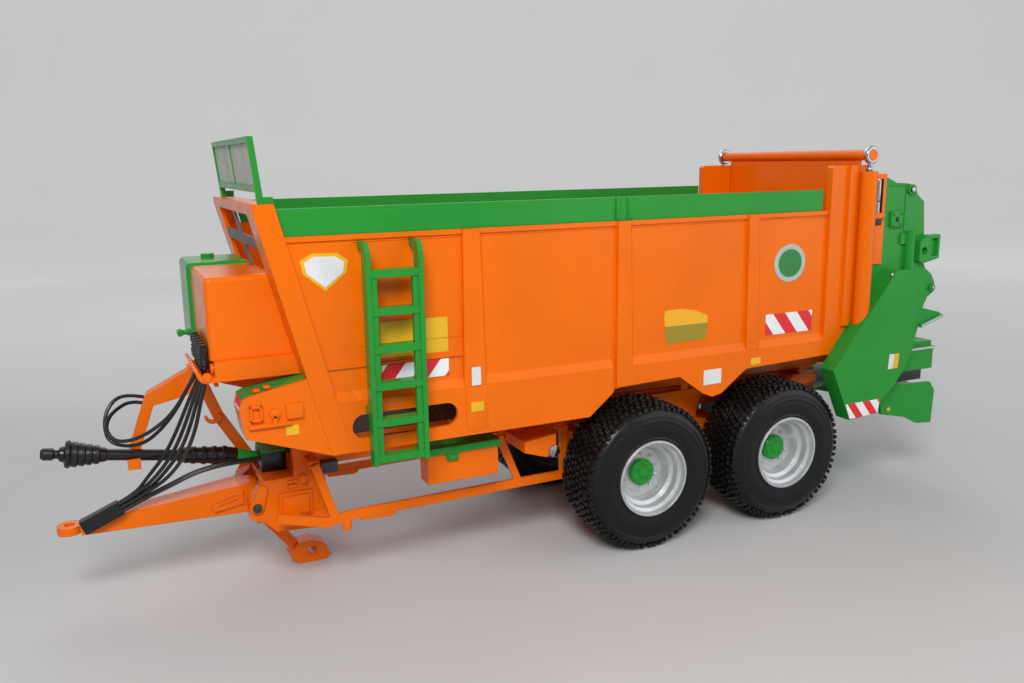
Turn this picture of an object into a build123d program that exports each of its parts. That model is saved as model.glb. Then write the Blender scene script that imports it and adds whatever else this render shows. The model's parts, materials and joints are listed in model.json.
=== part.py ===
from build123d import *
from math import atan2, cos, degrees, radians, sin, tan
import os

# Tandem-axle manure spreader with a beater-and-disc spreading unit, a 1:32 scale model.
# Millimetres. +X points to the rear, -Y is the vehicle's left side and +Z is up. The origin lies on
# the ground in the middle of the plan. Stations along x are counted from the front axle.

# ---------------------------------------------------------------- overall stations
FRONT_REACH = 180.0      # front axle to the nose of the drive shaft
REAR_REACH = 137.0       # front axle to the rearmost spreading guard
AXLE_X = (FRONT_REACH - REAR_REACH) / 2
WHEELBASE = 57.0
SEAT = 0.02              # play between round pieces fixed in each other
RUN_FIT = 0.08           # radial clearance of a shaft that turns in its bore
CLEAR = 0.3              # gap beside a piece that slides or swings

# ---------------------------------------------------------------- wheels
TYRE_R = 25.3
TYRE_W = 20.3
TREAD_H = 1.1            # height of the tread blocks
TREAD_ROW_W = 7.6        # width of each of the two rows of blocks
TREAD_BLOCKS = 22        # blocks in a row
BEAD_R = 13.0
WHEEL_FACE_Y = 43.5      # outer plane of the wheels
DISC_DEPTH = 8.6         # wheel disc behind the outer plane
DISC_T = 1.2
HUB_R = 4.6
HUB_OUT = 2.0            # hub cap in front of the disc
HUB_NECK_R = 3.1
HUB_BOSS_R = 4.6
HUB_BOSS_L = 5.6
STUB_R = 1.5
STUB_END_GAP = 0.6

# ---------------------------------------------------------------- body
IN_Y = 35.2              # inner face of the side walls
PANEL_Y = 36.6           # outer face of the panels between the ribs
RIB_Y = 38.0             # outer face of ribs, skirt and corner posts
BODY_TOP_Z = 110.2       # top of the side walls
RAIL_H = 1.5
RAIL_Y = 37.1
BOARD_H = 7.4
BOARD_T = 1.5
BOARD_Y = 36.5
PANEL_LOW_Z = 66.1       # where a panel starts to slope out to the skirt
SKIRT_TOP_Z = 63.3
LEAF_LOW_Z = 60.0        # inner leaf of the wall behind the skirt
FLOOR_Z = 49.0           # underside of the load floor
FLOOR_T = 1.4
FLOOR_HALF_W = 20.0
LEAN = 0.252             # forward lean of the front wall, run over rise
FRONT_FOOT_X = -105.2    # front edge of the corner post at its foot
FRONT_FOOT_Z = 48.5
FRONT_TOP_Z = 119.0
POST_W = 6.1             # width of the leaning corner post
FRONT_WALL_T = 1.4
FLANGE_W = 6.0
FLANGE_T = 1.4
WALL_REAR_X = 76.4       # rear edge of the side panels
POST_REAR_X = 95.0       # rear edge of the rear posts
POST_TOP_Z = 125.8
CHANNEL_W = 6.6          # upright channel behind each rear post, with the door's cylinder
CHANNEL_FOOT_Z = 90.0
CHANNEL_BAY_Z = (POST_TOP_Z - 17.2, POST_TOP_Z - 5.0)
FLOOR_REAR_X = 88.4
WINDOW_HALF_W = 27.0
WINDOW_Z = (99.5, 116.0)
HEADBOARD_Z = 136.4
HEADBOARD_HALF_W = 34.8
HEADBOARD_LEAN = 0.1
HEADBOARD_TUBE = 1.6

# ---------------------------------------------------------------- running gear and frame
BEAM_Y = 13.5            # centre of each chassis beam
BEAM_W = 3.0
BEAM_Z = (38.6, 47.0)
BEAM_X = (-112.0, 95.0)
AXLE_BOX = 5.0
BOGIE_Y = 19.6
BOGIE_T = 2.4
BOGIE_PIVOT_Z = 33.0
LINE_Z = 40.2            # drive line under the floor
LINE_R = 1.3

# ---------------------------------------------------------------- spreading unit
UNIT_Y = 38.0            # outer face of the unit's side plates
UNIT_T = 1.4
UNIT_X = POST_REAR_X
GUARD_Y = 44.5           # outer face of the big side guards
GUARD_T = 1.0
BEATER_X = 108.2
BEATER_Z = (84.5, 106.0)
BEATER_SHAFT_R = 1.9
BEATER_TIP_R = 9.6
BEATER_FLIGHT_R = 6.8    # outer edge of the flight plates that carry the teeth
BEATER_STATIONS = 12     # flight plates along each of the two starts
BEATER_LEAD = 16.0       # degrees that a flight plate leans along the shaft
JOURNAL_R = 1.0
DISC_X = 118.0
DISC_Y = 17.6
DISC_Z = 43.4
DISC_R = 15.6
SPINDLE_R = 1.4
DECK_Z = 37.2
DECK_T = BEAM_Z[0] - DECK_Z
DOOR_PIVOT = (115.3, 116.6)
DOOR_BARREL_R = 1.7
GATE_X = 91.0
GATE_T = 1.3
GATE_TUBE_Z = 129.3
GATE_TUBE_R = 1.9
GUIDE_Y = 40.6
GUIDE_R = 3.0
GUIDE_TOP_Z = 123.6
ROD_R = 0.9
ROD_LOW_Z = 78.0

# ---------------------------------------------------------------- front gear
EYE_X = -174.6
EYE_Z = 25.8
EYE_R = 3.4
EYE_BORE_R = 1.4
EYE_T = 2.4
BAR_X = (-171.5, -127.0) # straight stretch of the drawbar
HITCH_PIN = (-123.4, 27.2)
HITCH_PIN_R = 1.7
HEAD_Y = 15.0            # outer face of the headstock
HEAD_TOP_Z = 36.0
CHEEK_Y = 8.2            # inner face of its cheeks
STAND_PIVOT = (-119.4, 18.4)
STAND_PIN_R = 0.9
STAND_Y = 4.0
STAND_T = 3.2
STAND_EAR_T = 1.2
SHAFT_NOSE = (-180.0, 49.4)
SHAFT_TAIL = (-126.6, 40.6)
SHAFT_TUBE_R = 1.7
RAIL_BAR_Y = -21.6       # centre of the left guard rail
RAIL_BAR_T = 1.2
SHELF_Z = 71.4
SHELF_T = 5.6
HOUSING_DEPTH = 23.9     # valve housing ahead of the wall, at its foot
HOUSING_X = FRONT_FOOT_X - LEAN * (SHELF_Z - FRONT_FOOT_Z) - HOUSING_DEPTH
HOUSING_TOP_Z = 99.8
HOUSING_Y = (-28.0, 5.0)
HOUSING_ROUND = 1.6      # rounding of the sheet-metal boxes
TANK_Y = 28.0
HOSE_R = 0.55
HOSE_PITCH = 4.0
HOSE_FIRST_Y = -26.5
COUPLING_COUNT = 6
COUPLING_Z = (74.6, 81.6)
SLEEVE_ENTRY = (-160.0, 30.4)
SLEEVE_LENGTH = 11.6
SLEEVE_FALL = 24.0       # degrees that the hoses fall where they enter the sleeve
SLEEVE_PITCH = 1.2
SLEEVE_ROWS = 3          # the hoses lie in pairs in the sleeve, the pairs above each other
LINE_HOSES = 2           # the lowest pair runs on from the sleeve over the drawbar
LINE_HOSE_Y = (-4.5, -6.0)  # where the two long hoses meet the bearing housing
LINE_HOSE_Z = 40.2
BEARING_X = (-120.0, -112.6)
BEARING_Y = (-7.0, 3.6)
COUPLING_X = HOUSING_X - 1.35
ARM_END = ((-151.6, 58.2), (-150.2, 62.4))  # front edge of the hose bracket's arm
ARM_Y = (3.0, 7.6)

# ---------------------------------------------------------------- ladder
LADDER_X = -95.0
LADDER_W = 16.4
LADDER_OUT_Y = -44.5
LADDER_DEPTH = 4.0
LADDER_Z = (45.4, 108.4)
STEP_PITCH = 10.5
STEPS = 6

PARTS = {}


def keep(name, shape):
    """Register a finished piece under its node name."""
    PARTS[name] = shape


def ax(x):
    """A station counted from the front axle, in the model's own frame."""
    return AXLE_X + x


def block(x, y, z):
    """Box between two limits along each axis; x is counted from the front axle."""
    size = Box(x[1] - x[0], y[1] - y[0], z[1] - z[0])
    return Pos(ax((x[0] + x[1]) / 2), (y[0] + y[1]) / 2, (z[0] + z[1]) / 2) * size


def plate_xz(points, y):
    """Side outline (x, z) extruded from y[0] to y[1]."""
    plane = Plane(origin=(AXLE_X, y[1], 0), x_dir=(1, 0, 0), z_dir=(0, -1, 0))
    return extrude(plane * make_face(Polyline(*points, close=True)), amount=y[1] - y[0])


def plate_yz(points, x):
    """Cross outline (y, z) extruded from x[0] to x[1]."""
    plane = Plane(origin=(ax(x[0]), 0, 0), x_dir=(0, 1, 0), z_dir=(1, 0, 0))
    return extrude(plane * make_face(Polyline(*points, close=True)), amount=x[1] - x[0])


def plate_xy(points, z):
    """Plan outline (x, y) extruded from z[0] to z[1]."""
    plane = Plane(origin=(AXLE_X, 0, z[0]), x_dir=(1, 0, 0), z_dir=(0, 0, 1))
    return extrude(plane * make_face(Polyline(*points, close=True)), amount=z[1] - z[0])


def rod_y(at, r, y):
    """Round bar across the model, centred on at = (x, z)."""
    return Pos(ax(at[0]), (y[0] + y[1]) / 2, at[1]) * Rot(90, 0, 0) * Cylinder(r, y[1] - y[0])


def rod_x(at, r, x):
    """Round bar along the model, centred on at = (y, z)."""
    return Pos(ax((x[0] + x[1]) / 2), at[0], at[1]) * Rot(0, 90, 0) * Cylinder(r, x[1] - x[0])


def rod_z(at, r, z):
    """Upright round bar, centred on at = (x, y)."""
    return Pos(ax(at[0]), at[1], (z[0] + z[1]) / 2) * Cylinder(r, z[1] - z[0])


def bar_xz(a, b, width, y):
    """Flat bar of the given width from a to b (x, z) in the side view, between the two y."""
    dx, dz = b[0] - a[0], b[1] - a[1]
    length = (dx * dx + dz * dz) ** 0.5
    nx, nz = -dz / length * width / 2, dx / length * width / 2
    corners = [(a[0] + nx, a[1] + nz), (b[0] + nx, b[1] + nz), (b[0] - nx, b[1] - nz), (a[0] - nx, a[1] - nz)]
    return plate_xz(corners, y)


def other_side(shape):
    """The same piece on the model's right side."""
    return mirror(shape, about=Plane.XZ)


def pair(name, shape):
    """Register a left-hand piece and its mirror image as one node of two solids."""
    keep(name, shape + other_side(shape))


def front_x(z):
    """Front edge of the leaning front wall at a height."""
    return FRONT_FOOT_X - LEAN * (z - FRONT_FOOT_Z)


def front_band(low, high, ahead, behind, y):
    """Piece parallel to the front wall, from ahead to behind its front face."""
    return plate_xz([(front_x(low) + ahead, low), (front_x(high) + ahead, high),
                     (front_x(high) + behind, high), (front_x(low) + behind, low)], y)


def behind_front(shape):
    """Trim a piece of the body to the inner face of the leaning front wall."""
    return shape - front_band(FLOOR_Z - 20, FRONT_TOP_Z + 20, -60, FRONT_WALL_T, (-60, 60))


# ================================================================ wheels
def revolved(profile, x):
    """Revolve (r, y) points about the wheel axis at a station."""
    plane = Plane(origin=(ax(x), 0, TYRE_R), x_dir=(1, 0, 0), z_dir=(0, 0, 1))
    face = plane * make_face(Polyline(*profile, close=True))
    return revolve(face, axis=Axis((ax(x), 0, TYRE_R), (0, 1, 0)), revolution_arc=360)


def tread_row(x, y, turn):
    """Ring of tread blocks between the two y, as one cogged outline."""
    pitch = 360 / TREAD_BLOCKS
    foot = TYRE_R - TREAD_H - 0.9
    # columns: angle within a block's pitch, radius
    corners = ((0.0, TYRE_R), (0.58, TYRE_R), (0.64, foot), (0.94, foot))
    outline = []
    for block_number in range(TREAD_BLOCKS):
        for share, r in corners:
            angle = radians((block_number + share) * pitch + turn)
            outline.append((x + r * sin(angle), TYRE_R - r * cos(angle)))
    return plate_xz(outline, y)


def tyre(x, side):
    """Ballooned tyre whose crown carries two staggered rows of blocks."""
    crown = TYRE_R - TREAD_H
    # columns: radius, distance from the tyre's face
    section = [(BEAD_R, 0.9), (BEAD_R + 3.6, 0.25), (BEAD_R + 6.6, 0.0), (crown - 2.2, 0.5),
               (crown - 0.5, 2.0), (crown, 3.6)]
    outer = [(r, side * (WHEEL_FACE_Y - d)) for r, d in section]
    inner = [(r, side * (WHEEL_FACE_Y - TYRE_W + d)) for r, d in reversed(section)]
    middle = side * (WHEEL_FACE_Y - TYRE_W / 2)
    bore = rod_y((x, TYRE_R), crown - 2.4, (-60, 60))
    whole = revolved(outer + inner, x)
    # columns: edge of the row nearer the middle, its turn against the other row
    for edge, turn in ((0.35, 0.0), (-0.35 - TREAD_ROW_W, 180 / TREAD_BLOCKS)):
        whole += tread_row(x, (middle + edge, middle + edge + TREAD_ROW_W), turn) - bore
    return whole


def rim(x, side):
    """Stepped dish with an inner barrel and a centre disc, open to both sides."""
    barrel = BEAD_R - SEAT
    back = TYRE_W - 0.6
    disc_back = DISC_DEPTH + DISC_T
    # columns: radius, depth behind the outer plane
    section = [(barrel, 0.2), (barrel, back), (barrel - 1.2, back), (barrel - 1.2, disc_back + 1.4),
               (9.4, disc_back),
               (HUB_NECK_R, disc_back), (HUB_NECK_R, DISC_DEPTH), (8.2, DISC_DEPTH), (9.4, 5.4),
               (10.6, 4.6), (10.9, 2.4),
               (barrel - 1.0, 1.8), (barrel - 0.7, 0.2)]
    return revolved([(r, side * (WHEEL_FACE_Y - d)) for r, d in section], x)


def hub(x, side):
    """Hub cap in front of the disc and the bearing boss behind it."""
    face = WHEEL_FACE_Y - DISC_DEPTH
    neck = HUB_NECK_R - SEAT
    back = face - DISC_T - SEAT
    bore = STUB_R + RUN_FIT
    bore_end = face + 0.4
    # columns: radius, distance from the model's middle
    section = [(0, face + HUB_OUT), (HUB_R - 0.7, face + HUB_OUT), (HUB_R, face + HUB_OUT - 0.7),
               (HUB_R, face + SEAT),
               (neck, face + SEAT), (neck, back), (HUB_BOSS_R, back), (HUB_BOSS_R, back - HUB_BOSS_L),
               (bore, back - HUB_BOSS_L), (bore, bore_end), (0, bore_end)]
    return revolved([(r, side * y) for r, y in section], x)


def wheels():
    """Four wheels, each a tyre, a rim and a hub."""
    for place, x in (("front", 0.0), ("rear", WHEELBASE)):
        for hand, side in (("left", -1), ("right", 1)):
            keep(f"tyre_{place}_{hand}", tyre(x, side))
            keep(f"rim_{place}_{hand}", rim(x, side))
            keep(f"hub_{place}_{hand}", hub(x, side))


# ================================================================ axles, bogie and frame
def running_gear():
    """Two box axles on a pair of bogie beams that hang from the frame."""
    hub_back = WHEEL_FACE_Y - DISC_DEPTH - DISC_T - SEAT - HUB_BOSS_L
    stub_tip = WHEEL_FACE_Y - DISC_DEPTH + 0.4 - STUB_END_GAP
    half = AXLE_BOX / 2
    axles = None
    for x in (0.0, WHEELBASE):
        axle = block((x - half, x + half), (-hub_back + 1.6, hub_back - 1.6), (TYRE_R - half, TYRE_R + half))
        collar = rod_y((x, TYRE_R), HUB_BOSS_R - 0.4, (hub_back - 1.8, hub_back - 0.4))
        stub = rod_y((x, TYRE_R), STUB_R, (hub_back - 1.0, stub_tip))
        axle = axle + collar + other_side(collar) + stub + other_side(stub)
        axles = axle if axles is None else axles + axle
    keep("axles", axles)

    mid = WHEELBASE / 2
    seat = TYRE_R + half
    low, high = BOGIE_PIVOT_Z - 2.4, BOGIE_PIVOT_Z + 2.8
    # columns: x, z of the bogie beam's outline
    outline = [(-5, seat), (5, seat), (mid - 6, low), (mid + 6, low), (WHEELBASE - 5, seat),
               (WHEELBASE + 5, seat),
               (WHEELBASE + 5, seat + 3.8), (WHEELBASE - 5, seat + 3.8), (mid + 5, high), (mid - 5, high),
               (5, seat + 3.8), (-5, seat + 3.8)]
    beam = plate_xz(outline, (-BOGIE_Y - BOGIE_T / 2, -BOGIE_Y + BOGIE_T / 2))
    # triangular hanger from the chassis beam down to the pivot
    top = BEAM_Z[1] - 0.8
    hanger = plate_xz([(mid - 14, top), (mid + 9, top), (mid + 6, high - 2.0), (mid - 2, high - 2.0)],
                      (-BOGIE_Y + BOGIE_T / 2, -BEAM_Y - BEAM_W / 2))
    pivot = rod_y((mid, BOGIE_PIVOT_Z), 1.9, (-BOGIE_Y - BOGIE_T / 2 - 0.8, -BOGIE_Y))
    pair("bogie_beams", beam + hanger + pivot)


def frame():
    """Two long beams with cross members, and the drive line below the floor."""
    beam = block(BEAM_X, (-BEAM_Y - BEAM_W / 2, -BEAM_Y + BEAM_W / 2), BEAM_Z)
    whole = beam + other_side(beam)
    inner = BEAM_Y - BEAM_W / 2
    for x in (-101.0, -82.0, -50.0, -26.0, 28.5, 74.0, 88.0):
        whole += block((x - 1.6, x + 1.6), (-inner, inner), (LINE_Z + LINE_R + 0.6, BEAM_Z[1]))
    # bolsters between the beams and the load floor
    for x in (-92.0, -62.0, -30.0, 28.5, 84.0):
        whole += block((x - 1.5, x + 1.5), (-FLOOR_HALF_W, FLOOR_HALF_W), (BEAM_Z[1], FLOOR_Z))
    # small brackets outside the beams, ahead of the front wheels
    bracket = plate_xz([(-41.0, 40.2), (-29.6, 41.6), (-29.6, 35.6), (-33.0, 34.0), (-41.0, 36.6)],
                       (-29.8, -BEAM_Y - BEAM_W / 2))
    # brackets behind the rear wheels, below the body's rear end
    tail = plate_xz([(77.0, 44.0), (79.4, 46.6), (91.0, 46.6), (91.0, 43.2), (84.0, 42.0), (79.0, 42.4)],
                    (-20.6, -BEAM_Y - BEAM_W / 2))
    for piece in (bracket, tail):
        whole += piece + other_side(piece)
    keep("chassis_frame", whole)

    line = rod_x((0, LINE_Z), LINE_R, (-116.0, 96.0))
    bearing = block(BEARING_X, BEARING_Y, (HEAD_TOP_Z, LINE_Z + 2.6))
    gearbox = block((91.0, 101.0), (-6.0, 6.0), (BEAM_Z[0], LINE_Z + 4.4))
    cone_l = 7.4
    start = Pos(ax(SHAFT_TAIL[0]), 0, SHAFT_TAIL[1]) * Rot(0, shaft_tilt(), 0)
    cone = start * Pos(CLEAR + cone_l / 2, 0, 0) * Rot(0, 90, 0) * Cone(2.2, 1.2, cone_l)
    keep("drive_line", line + bearing + gearbox + cone)


# ================================================================ body
def corner_post():
    """Leaning strip outside the front end of a side wall, with a rounded-off top corner."""
    shoulder = FRONT_TOP_Z - 1.8
    post = front_band(FRONT_FOOT_Z, shoulder, 0, POST_W, (-RIB_Y, -PANEL_Y))
    return post + plate_xz([(front_x(shoulder), shoulder), (front_x(FRONT_TOP_Z) + 1.8, FRONT_TOP_Z),
                            (front_x(FRONT_TOP_Z) + POST_W, FRONT_TOP_Z),
                            (front_x(shoulder) + POST_W, shoulder)], (-RIB_Y, -PANEL_Y))


def side_walls():
    """Ribbed side panels, and below them a skirt that arches over the wheels."""
    top = BODY_TOP_Z
    panel = block((-140.0, WALL_REAR_X), (-PANEL_Y, -IN_Y), (LEAF_LOW_Z, top))
    panel += block((-140.0, WALL_REAR_X), (-RAIL_Y, -PANEL_Y), (top - RAIL_H, top))
    panel += plate_yz([(-IN_Y, PANEL_LOW_Z), (-PANEL_Y, PANEL_LOW_Z), (-RIB_Y, SKIRT_TOP_Z),
                       (-IN_Y, SKIRT_TOP_Z)], (-140.0, WALL_REAR_X))
    # columns: front edge and rear edge at the top, front edge and rear edge at the foot
    ribs = ((-64.0, -58.6, -64.6, -57.6), (-11.4, -6.8, -11.6, -5.6), (40.3, 44.6, 41.0, 46.6))
    for front_top, rear_top, front_low, rear_low in ribs:
        panel += plate_xz([(front_low, SKIRT_TOP_Z), (front_top, top), (rear_top, top),
                           (rear_low, SKIRT_TOP_Z)], (-RIB_Y, -IN_Y))
    # groove between the raised foot of the second panel and the middle rib
    groove_x = (ribs[1][2] - 1.2, ribs[1][2])
    panel -= block(groove_x, (-RIB_Y - 1, -PANEL_Y), (SKIRT_TOP_Z, PANEL_LOW_Z))
    lip_z = 72.9
    panel += block((-140.0, ribs[0][0] + 0.5), (-PANEL_Y - 0.6, -PANEL_Y), (lip_z, lip_z + 0.7))
    pair("side_panels", behind_front(panel) - front_band(LEAF_LOW_Z - 5, top + 5, -60, POST_W,
                                                         (-RIB_Y - 1, -PANEL_Y)))

    foot_z = FRONT_FOOT_Z - 0.1
    # columns: x, z of the skirt's lower edge
    lower_edge = [(-104.0, foot_z), (-21.6, 48.2), (-11.1, 56.6), (13.2, 57.3), (23.0, 50.3), (26.8, 48.7),
                  (30.7, 49.4), (41.2, 56.9),
                  (WALL_REAR_X, 57.9)]
    skirt = plate_xz(lower_edge + [(WALL_REAR_X, SKIRT_TOP_Z), (-104.0, SKIRT_TOP_Z)], (-RIB_Y, -PANEL_Y))
    slot_x, slot_z, slot_r = (-99.1, -67.0), 55.8, 3.5
    ends = (slot_x[0] + slot_r, slot_x[1] - slot_r)
    slot = block(ends, (-RIB_Y - 1, -PANEL_Y + 1), (slot_z - slot_r, slot_z + slot_r))
    for x in ends:
        slot += rod_y((x, slot_z), slot_r, (-RIB_Y - 1, -PANEL_Y + 1))
    strip = front_band(FRONT_FOOT_Z, SKIRT_TOP_Z, POST_W - 1.0, POST_W + 12.0, (-RIB_Y, -PANEL_Y))
    skirt = skirt + strip - slot - block(groove_x, (-RIB_Y - 1, -RIB_Y + 0.9), (50, SKIRT_TOP_Z))
    ahead = front_band(FRONT_FOOT_Z - 5, SKIRT_TOP_Z + 5, -60, POST_W, (-RIB_Y - 1, -PANEL_Y + 1))
    pair("skirts", skirt - ahead)


def front_wall():
    """Leaning front wall with its corner posts and top flange, and the bars of its window."""
    top = FRONT_TOP_Z - FLANGE_T
    wall = front_band(FLOOR_Z - 0.5, top, 0, FRONT_WALL_T, (-PANEL_Y, PANEL_Y))
    window = front_band(*WINDOW_Z, -2, FRONT_WALL_T + 2, (-WINDOW_HALF_W, WINDOW_HALF_W))
    flange = block((front_x(top), front_x(top) + FLANGE_W), (-PANEL_Y, PANEL_Y), (top, FRONT_TOP_Z))
    post = corner_post()
    keep("front_wall", wall - window + flange + post + other_side(post))

    middle = (WINDOW_Z[0] + WINDOW_Z[1]) / 2
    upright = front_band(*WINDOW_Z, 0.3, 1.1, (-1.4, 1.4))
    cross = front_band(middle - 1.6, middle + 1.6, 0.3, 1.1, (-WINDOW_HALF_W, WINDOW_HALF_W))
    keep("window_bars", upright + cross)


def load_floor():
    """Flat load floor with sloping sides, and the slatted chain that runs over it."""
    top = FLOOR_Z + FLOOR_T
    fall = SKIRT_TOP_Z - top
    run = IN_Y - FLOOR_HALF_W
    drop = FLOOR_T * (fall * fall + run * run) ** 0.5 / run
    trough = [(-IN_Y, SKIRT_TOP_Z - drop), (-FLOOR_HALF_W, FLOOR_Z), (FLOOR_HALF_W, FLOOR_Z),
              (IN_Y, SKIRT_TOP_Z - drop), (IN_Y, SKIRT_TOP_Z),
              (FLOOR_HALF_W, top), (-FLOOR_HALF_W, top), (-IN_Y, SKIRT_TOP_Z)]
    keep("load_floor", behind_front(plate_yz(trough, (-140.0, FLOOR_REAR_X))))

    front = front_x(top) + FRONT_WALL_T
    chain = None
    for y in (-9.0, 9.0):
        run = block((front + 3.0, FLOOR_REAR_X - 3.0), (y - 0.9, y + 0.9), (top, top + 0.7))
        chain = run if chain is None else chain + run
    pitch = 12.0
    count = int((FLOOR_REAR_X - front - 10.0) / pitch)
    for i in range(count + 1):
        x = front + 5.0 + i * pitch
        chain += block((x - 0.7, x + 0.7), (-FLOOR_HALF_W + 1.2, FLOOR_HALF_W - 1.2), (top, top + 1.5))
    keep("floor_chain", chain)


def boards():
    """Extension boards on the side walls, with a jointing strap."""
    low, high = BODY_TOP_Z, BODY_TOP_Z + BOARD_H
    rear = WALL_REAR_X - 2.5
    front = front_x(low) + POST_W + CLEAR
    board = plate_xz([(front, low), (front - LEAN * BOARD_H, high), (rear, high), (rear, low)],
                     (-BOARD_Y, -BOARD_Y + BOARD_T))
    for x in (-11.4, -7.6):
        board += block((x, x + 1.5), (-BOARD_Y - 0.4, -BOARD_Y), (low, high))
    pair("side_boards", board)


def headboard():
    """Guard frame with mesh panes on the front wall."""
    low, high = FRONT_TOP_Z, HEADBOARD_Z
    foot = front_x(low) + 2.6

    def band(z0, z1, ahead, behind, y):
        x0, x1 = foot - HEADBOARD_LEAN * (z0 - low), foot - HEADBOARD_LEAN * (z1 - low)
        return plate_xz([(x0 + ahead, z0), (x1 + ahead, z1), (x1 + behind, z1), (x0 + behind, z0)], y)

    tube, half = HEADBOARD_TUBE, HEADBOARD_HALF_W
    pane_z = (low + 4.7, high - tube)
    frame_piece = band(pane_z[1], high, 0, tube, (-half, half)) + band(low + 3.0, pane_z[0], 0, tube,
                                                                       (-half, half))
    for y in (-half, half - tube):
        frame_piece += band(low, high, 0, tube, (y, y + tube)) + block((foot, foot + 4.0), (y, y + tube),
                                                                       (low, low + 1.8))
    frame_piece += band(*pane_z, 0.2, tube - 0.2, (-0.5, 0.5))
    keep("headboard_frame", frame_piece)
    panes = band(*pane_z, 0.5, 0.9, (-half + tube, -0.5)) + band(*pane_z, 0.5, 0.9, (0.5, half - tube))
    keep("headboard_mesh", panes)


def guard_front_line():
    """Front edge of the side guard, from its top down (x, z)."""
    return [(103.8, 88.0), (94.8, 76.6), (84.6, 64.6), (75.6, 53.4), (84.8, 33.8)]


def rear_posts():
    """Rear side plates, the gate's guide tubes and the door's cylinder channels."""
    plate = plate_xz([(WALL_REAR_X, 57.9), (WALL_REAR_X, POST_TOP_Z - 0.8), (WALL_REAR_X + 0.8, POST_TOP_Z),
                      (POST_REAR_X, POST_TOP_Z),
                      (POST_REAR_X, 57.9)], (-RIB_Y, -IN_Y))
    plate -= block((GATE_X - CLEAR, POST_REAR_X + 1), (-IN_Y - 0.6, -IN_Y + 1), (50, 140))
    plate += block((83.6, 87.0), (-RIB_Y - 1.2, -RIB_Y), (68.2, POST_TOP_Z))
    channel = block((POST_REAR_X, POST_REAR_X + CHANNEL_W), (-RIB_Y - 1.0, -UNIT_Y + 3.2),
                    (CHANNEL_FOOT_Z, POST_TOP_Z - 3.2))
    channel -= block((POST_REAR_X + 1.6, POST_REAR_X + 5.2), (-RIB_Y - 2.0, -RIB_Y + 1.4), CHANNEL_BAY_Z)
    tube = rod_z((GATE_X, -GUIDE_Y), GUIDE_R, (64.0, GUIDE_TOP_Z)) - block((80, 100), (-RIB_Y, 0), (60, 130))
    tube -= rod_z((GATE_X, -GUIDE_Y), ROD_R + CLEAR, (ROD_LOW_Z - 2.0, GUIDE_TOP_Z + 1))
    tube -= plate_xz(guard_front_line()[:4] + [(75.6, 20.0), (120.0, 20.0), (120.0, 88.0)], (-60, 0))
    pair("rear_posts", plate + channel + tube)
    low, high = CHANNEL_BAY_Z
    gland = rod_z((POST_REAR_X + 3.4, -RIB_Y + 0.1), 1.25, (low, low + 4.0))
    rod = rod_z((POST_REAR_X + 3.4, -RIB_Y + 0.1), 0.8, (low + 4.0, high))
    pair("door_cylinders", gland + rod)


# ================================================================ rear gate
def rear_gate():
    """Sliding gate: panel with its top tube, and the chrome rods with their ring eyes."""
    half = IN_Y + CLEAR
    panel = block((GATE_X, GATE_X + GATE_T), (-half, half), (FLOOR_Z + FLOOR_T + 0.5, GATE_TUBE_Z))
    for z in (62.0, 78.0, 94.0, 110.0):
        panel += block((GATE_X + GATE_T, GATE_X + GATE_T + 1.0), (-half + 1.5, half - 1.5), (z, z + 1.6))
    tube_at = (GATE_X + GATE_T / 2, GATE_TUBE_Z)
    panel += rod_y(tube_at, GATE_TUBE_R, (-GUIDE_Y - 1.0, GUIDE_Y + 1.0))
    keep("gate_panel", panel)
    width = (-GUIDE_Y - 0.8, -GUIDE_Y + 1.2)
    ring = rod_y(tube_at, GATE_TUBE_R + 1.3, width)
    ring = fillet(ring.edges().filter_by(GeomType.CIRCLE), 0.7) - rod_y(tube_at, GATE_TUBE_R + SEAT,
                                                                        (width[0] - 1, width[1] + 1))
    rod = rod_z((GATE_X, -GUIDE_Y), ROD_R, (ROD_LOW_Z, GATE_TUBE_Z - GATE_TUBE_R - 0.3))
    pair("gate_rods", ring + rod)


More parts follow.
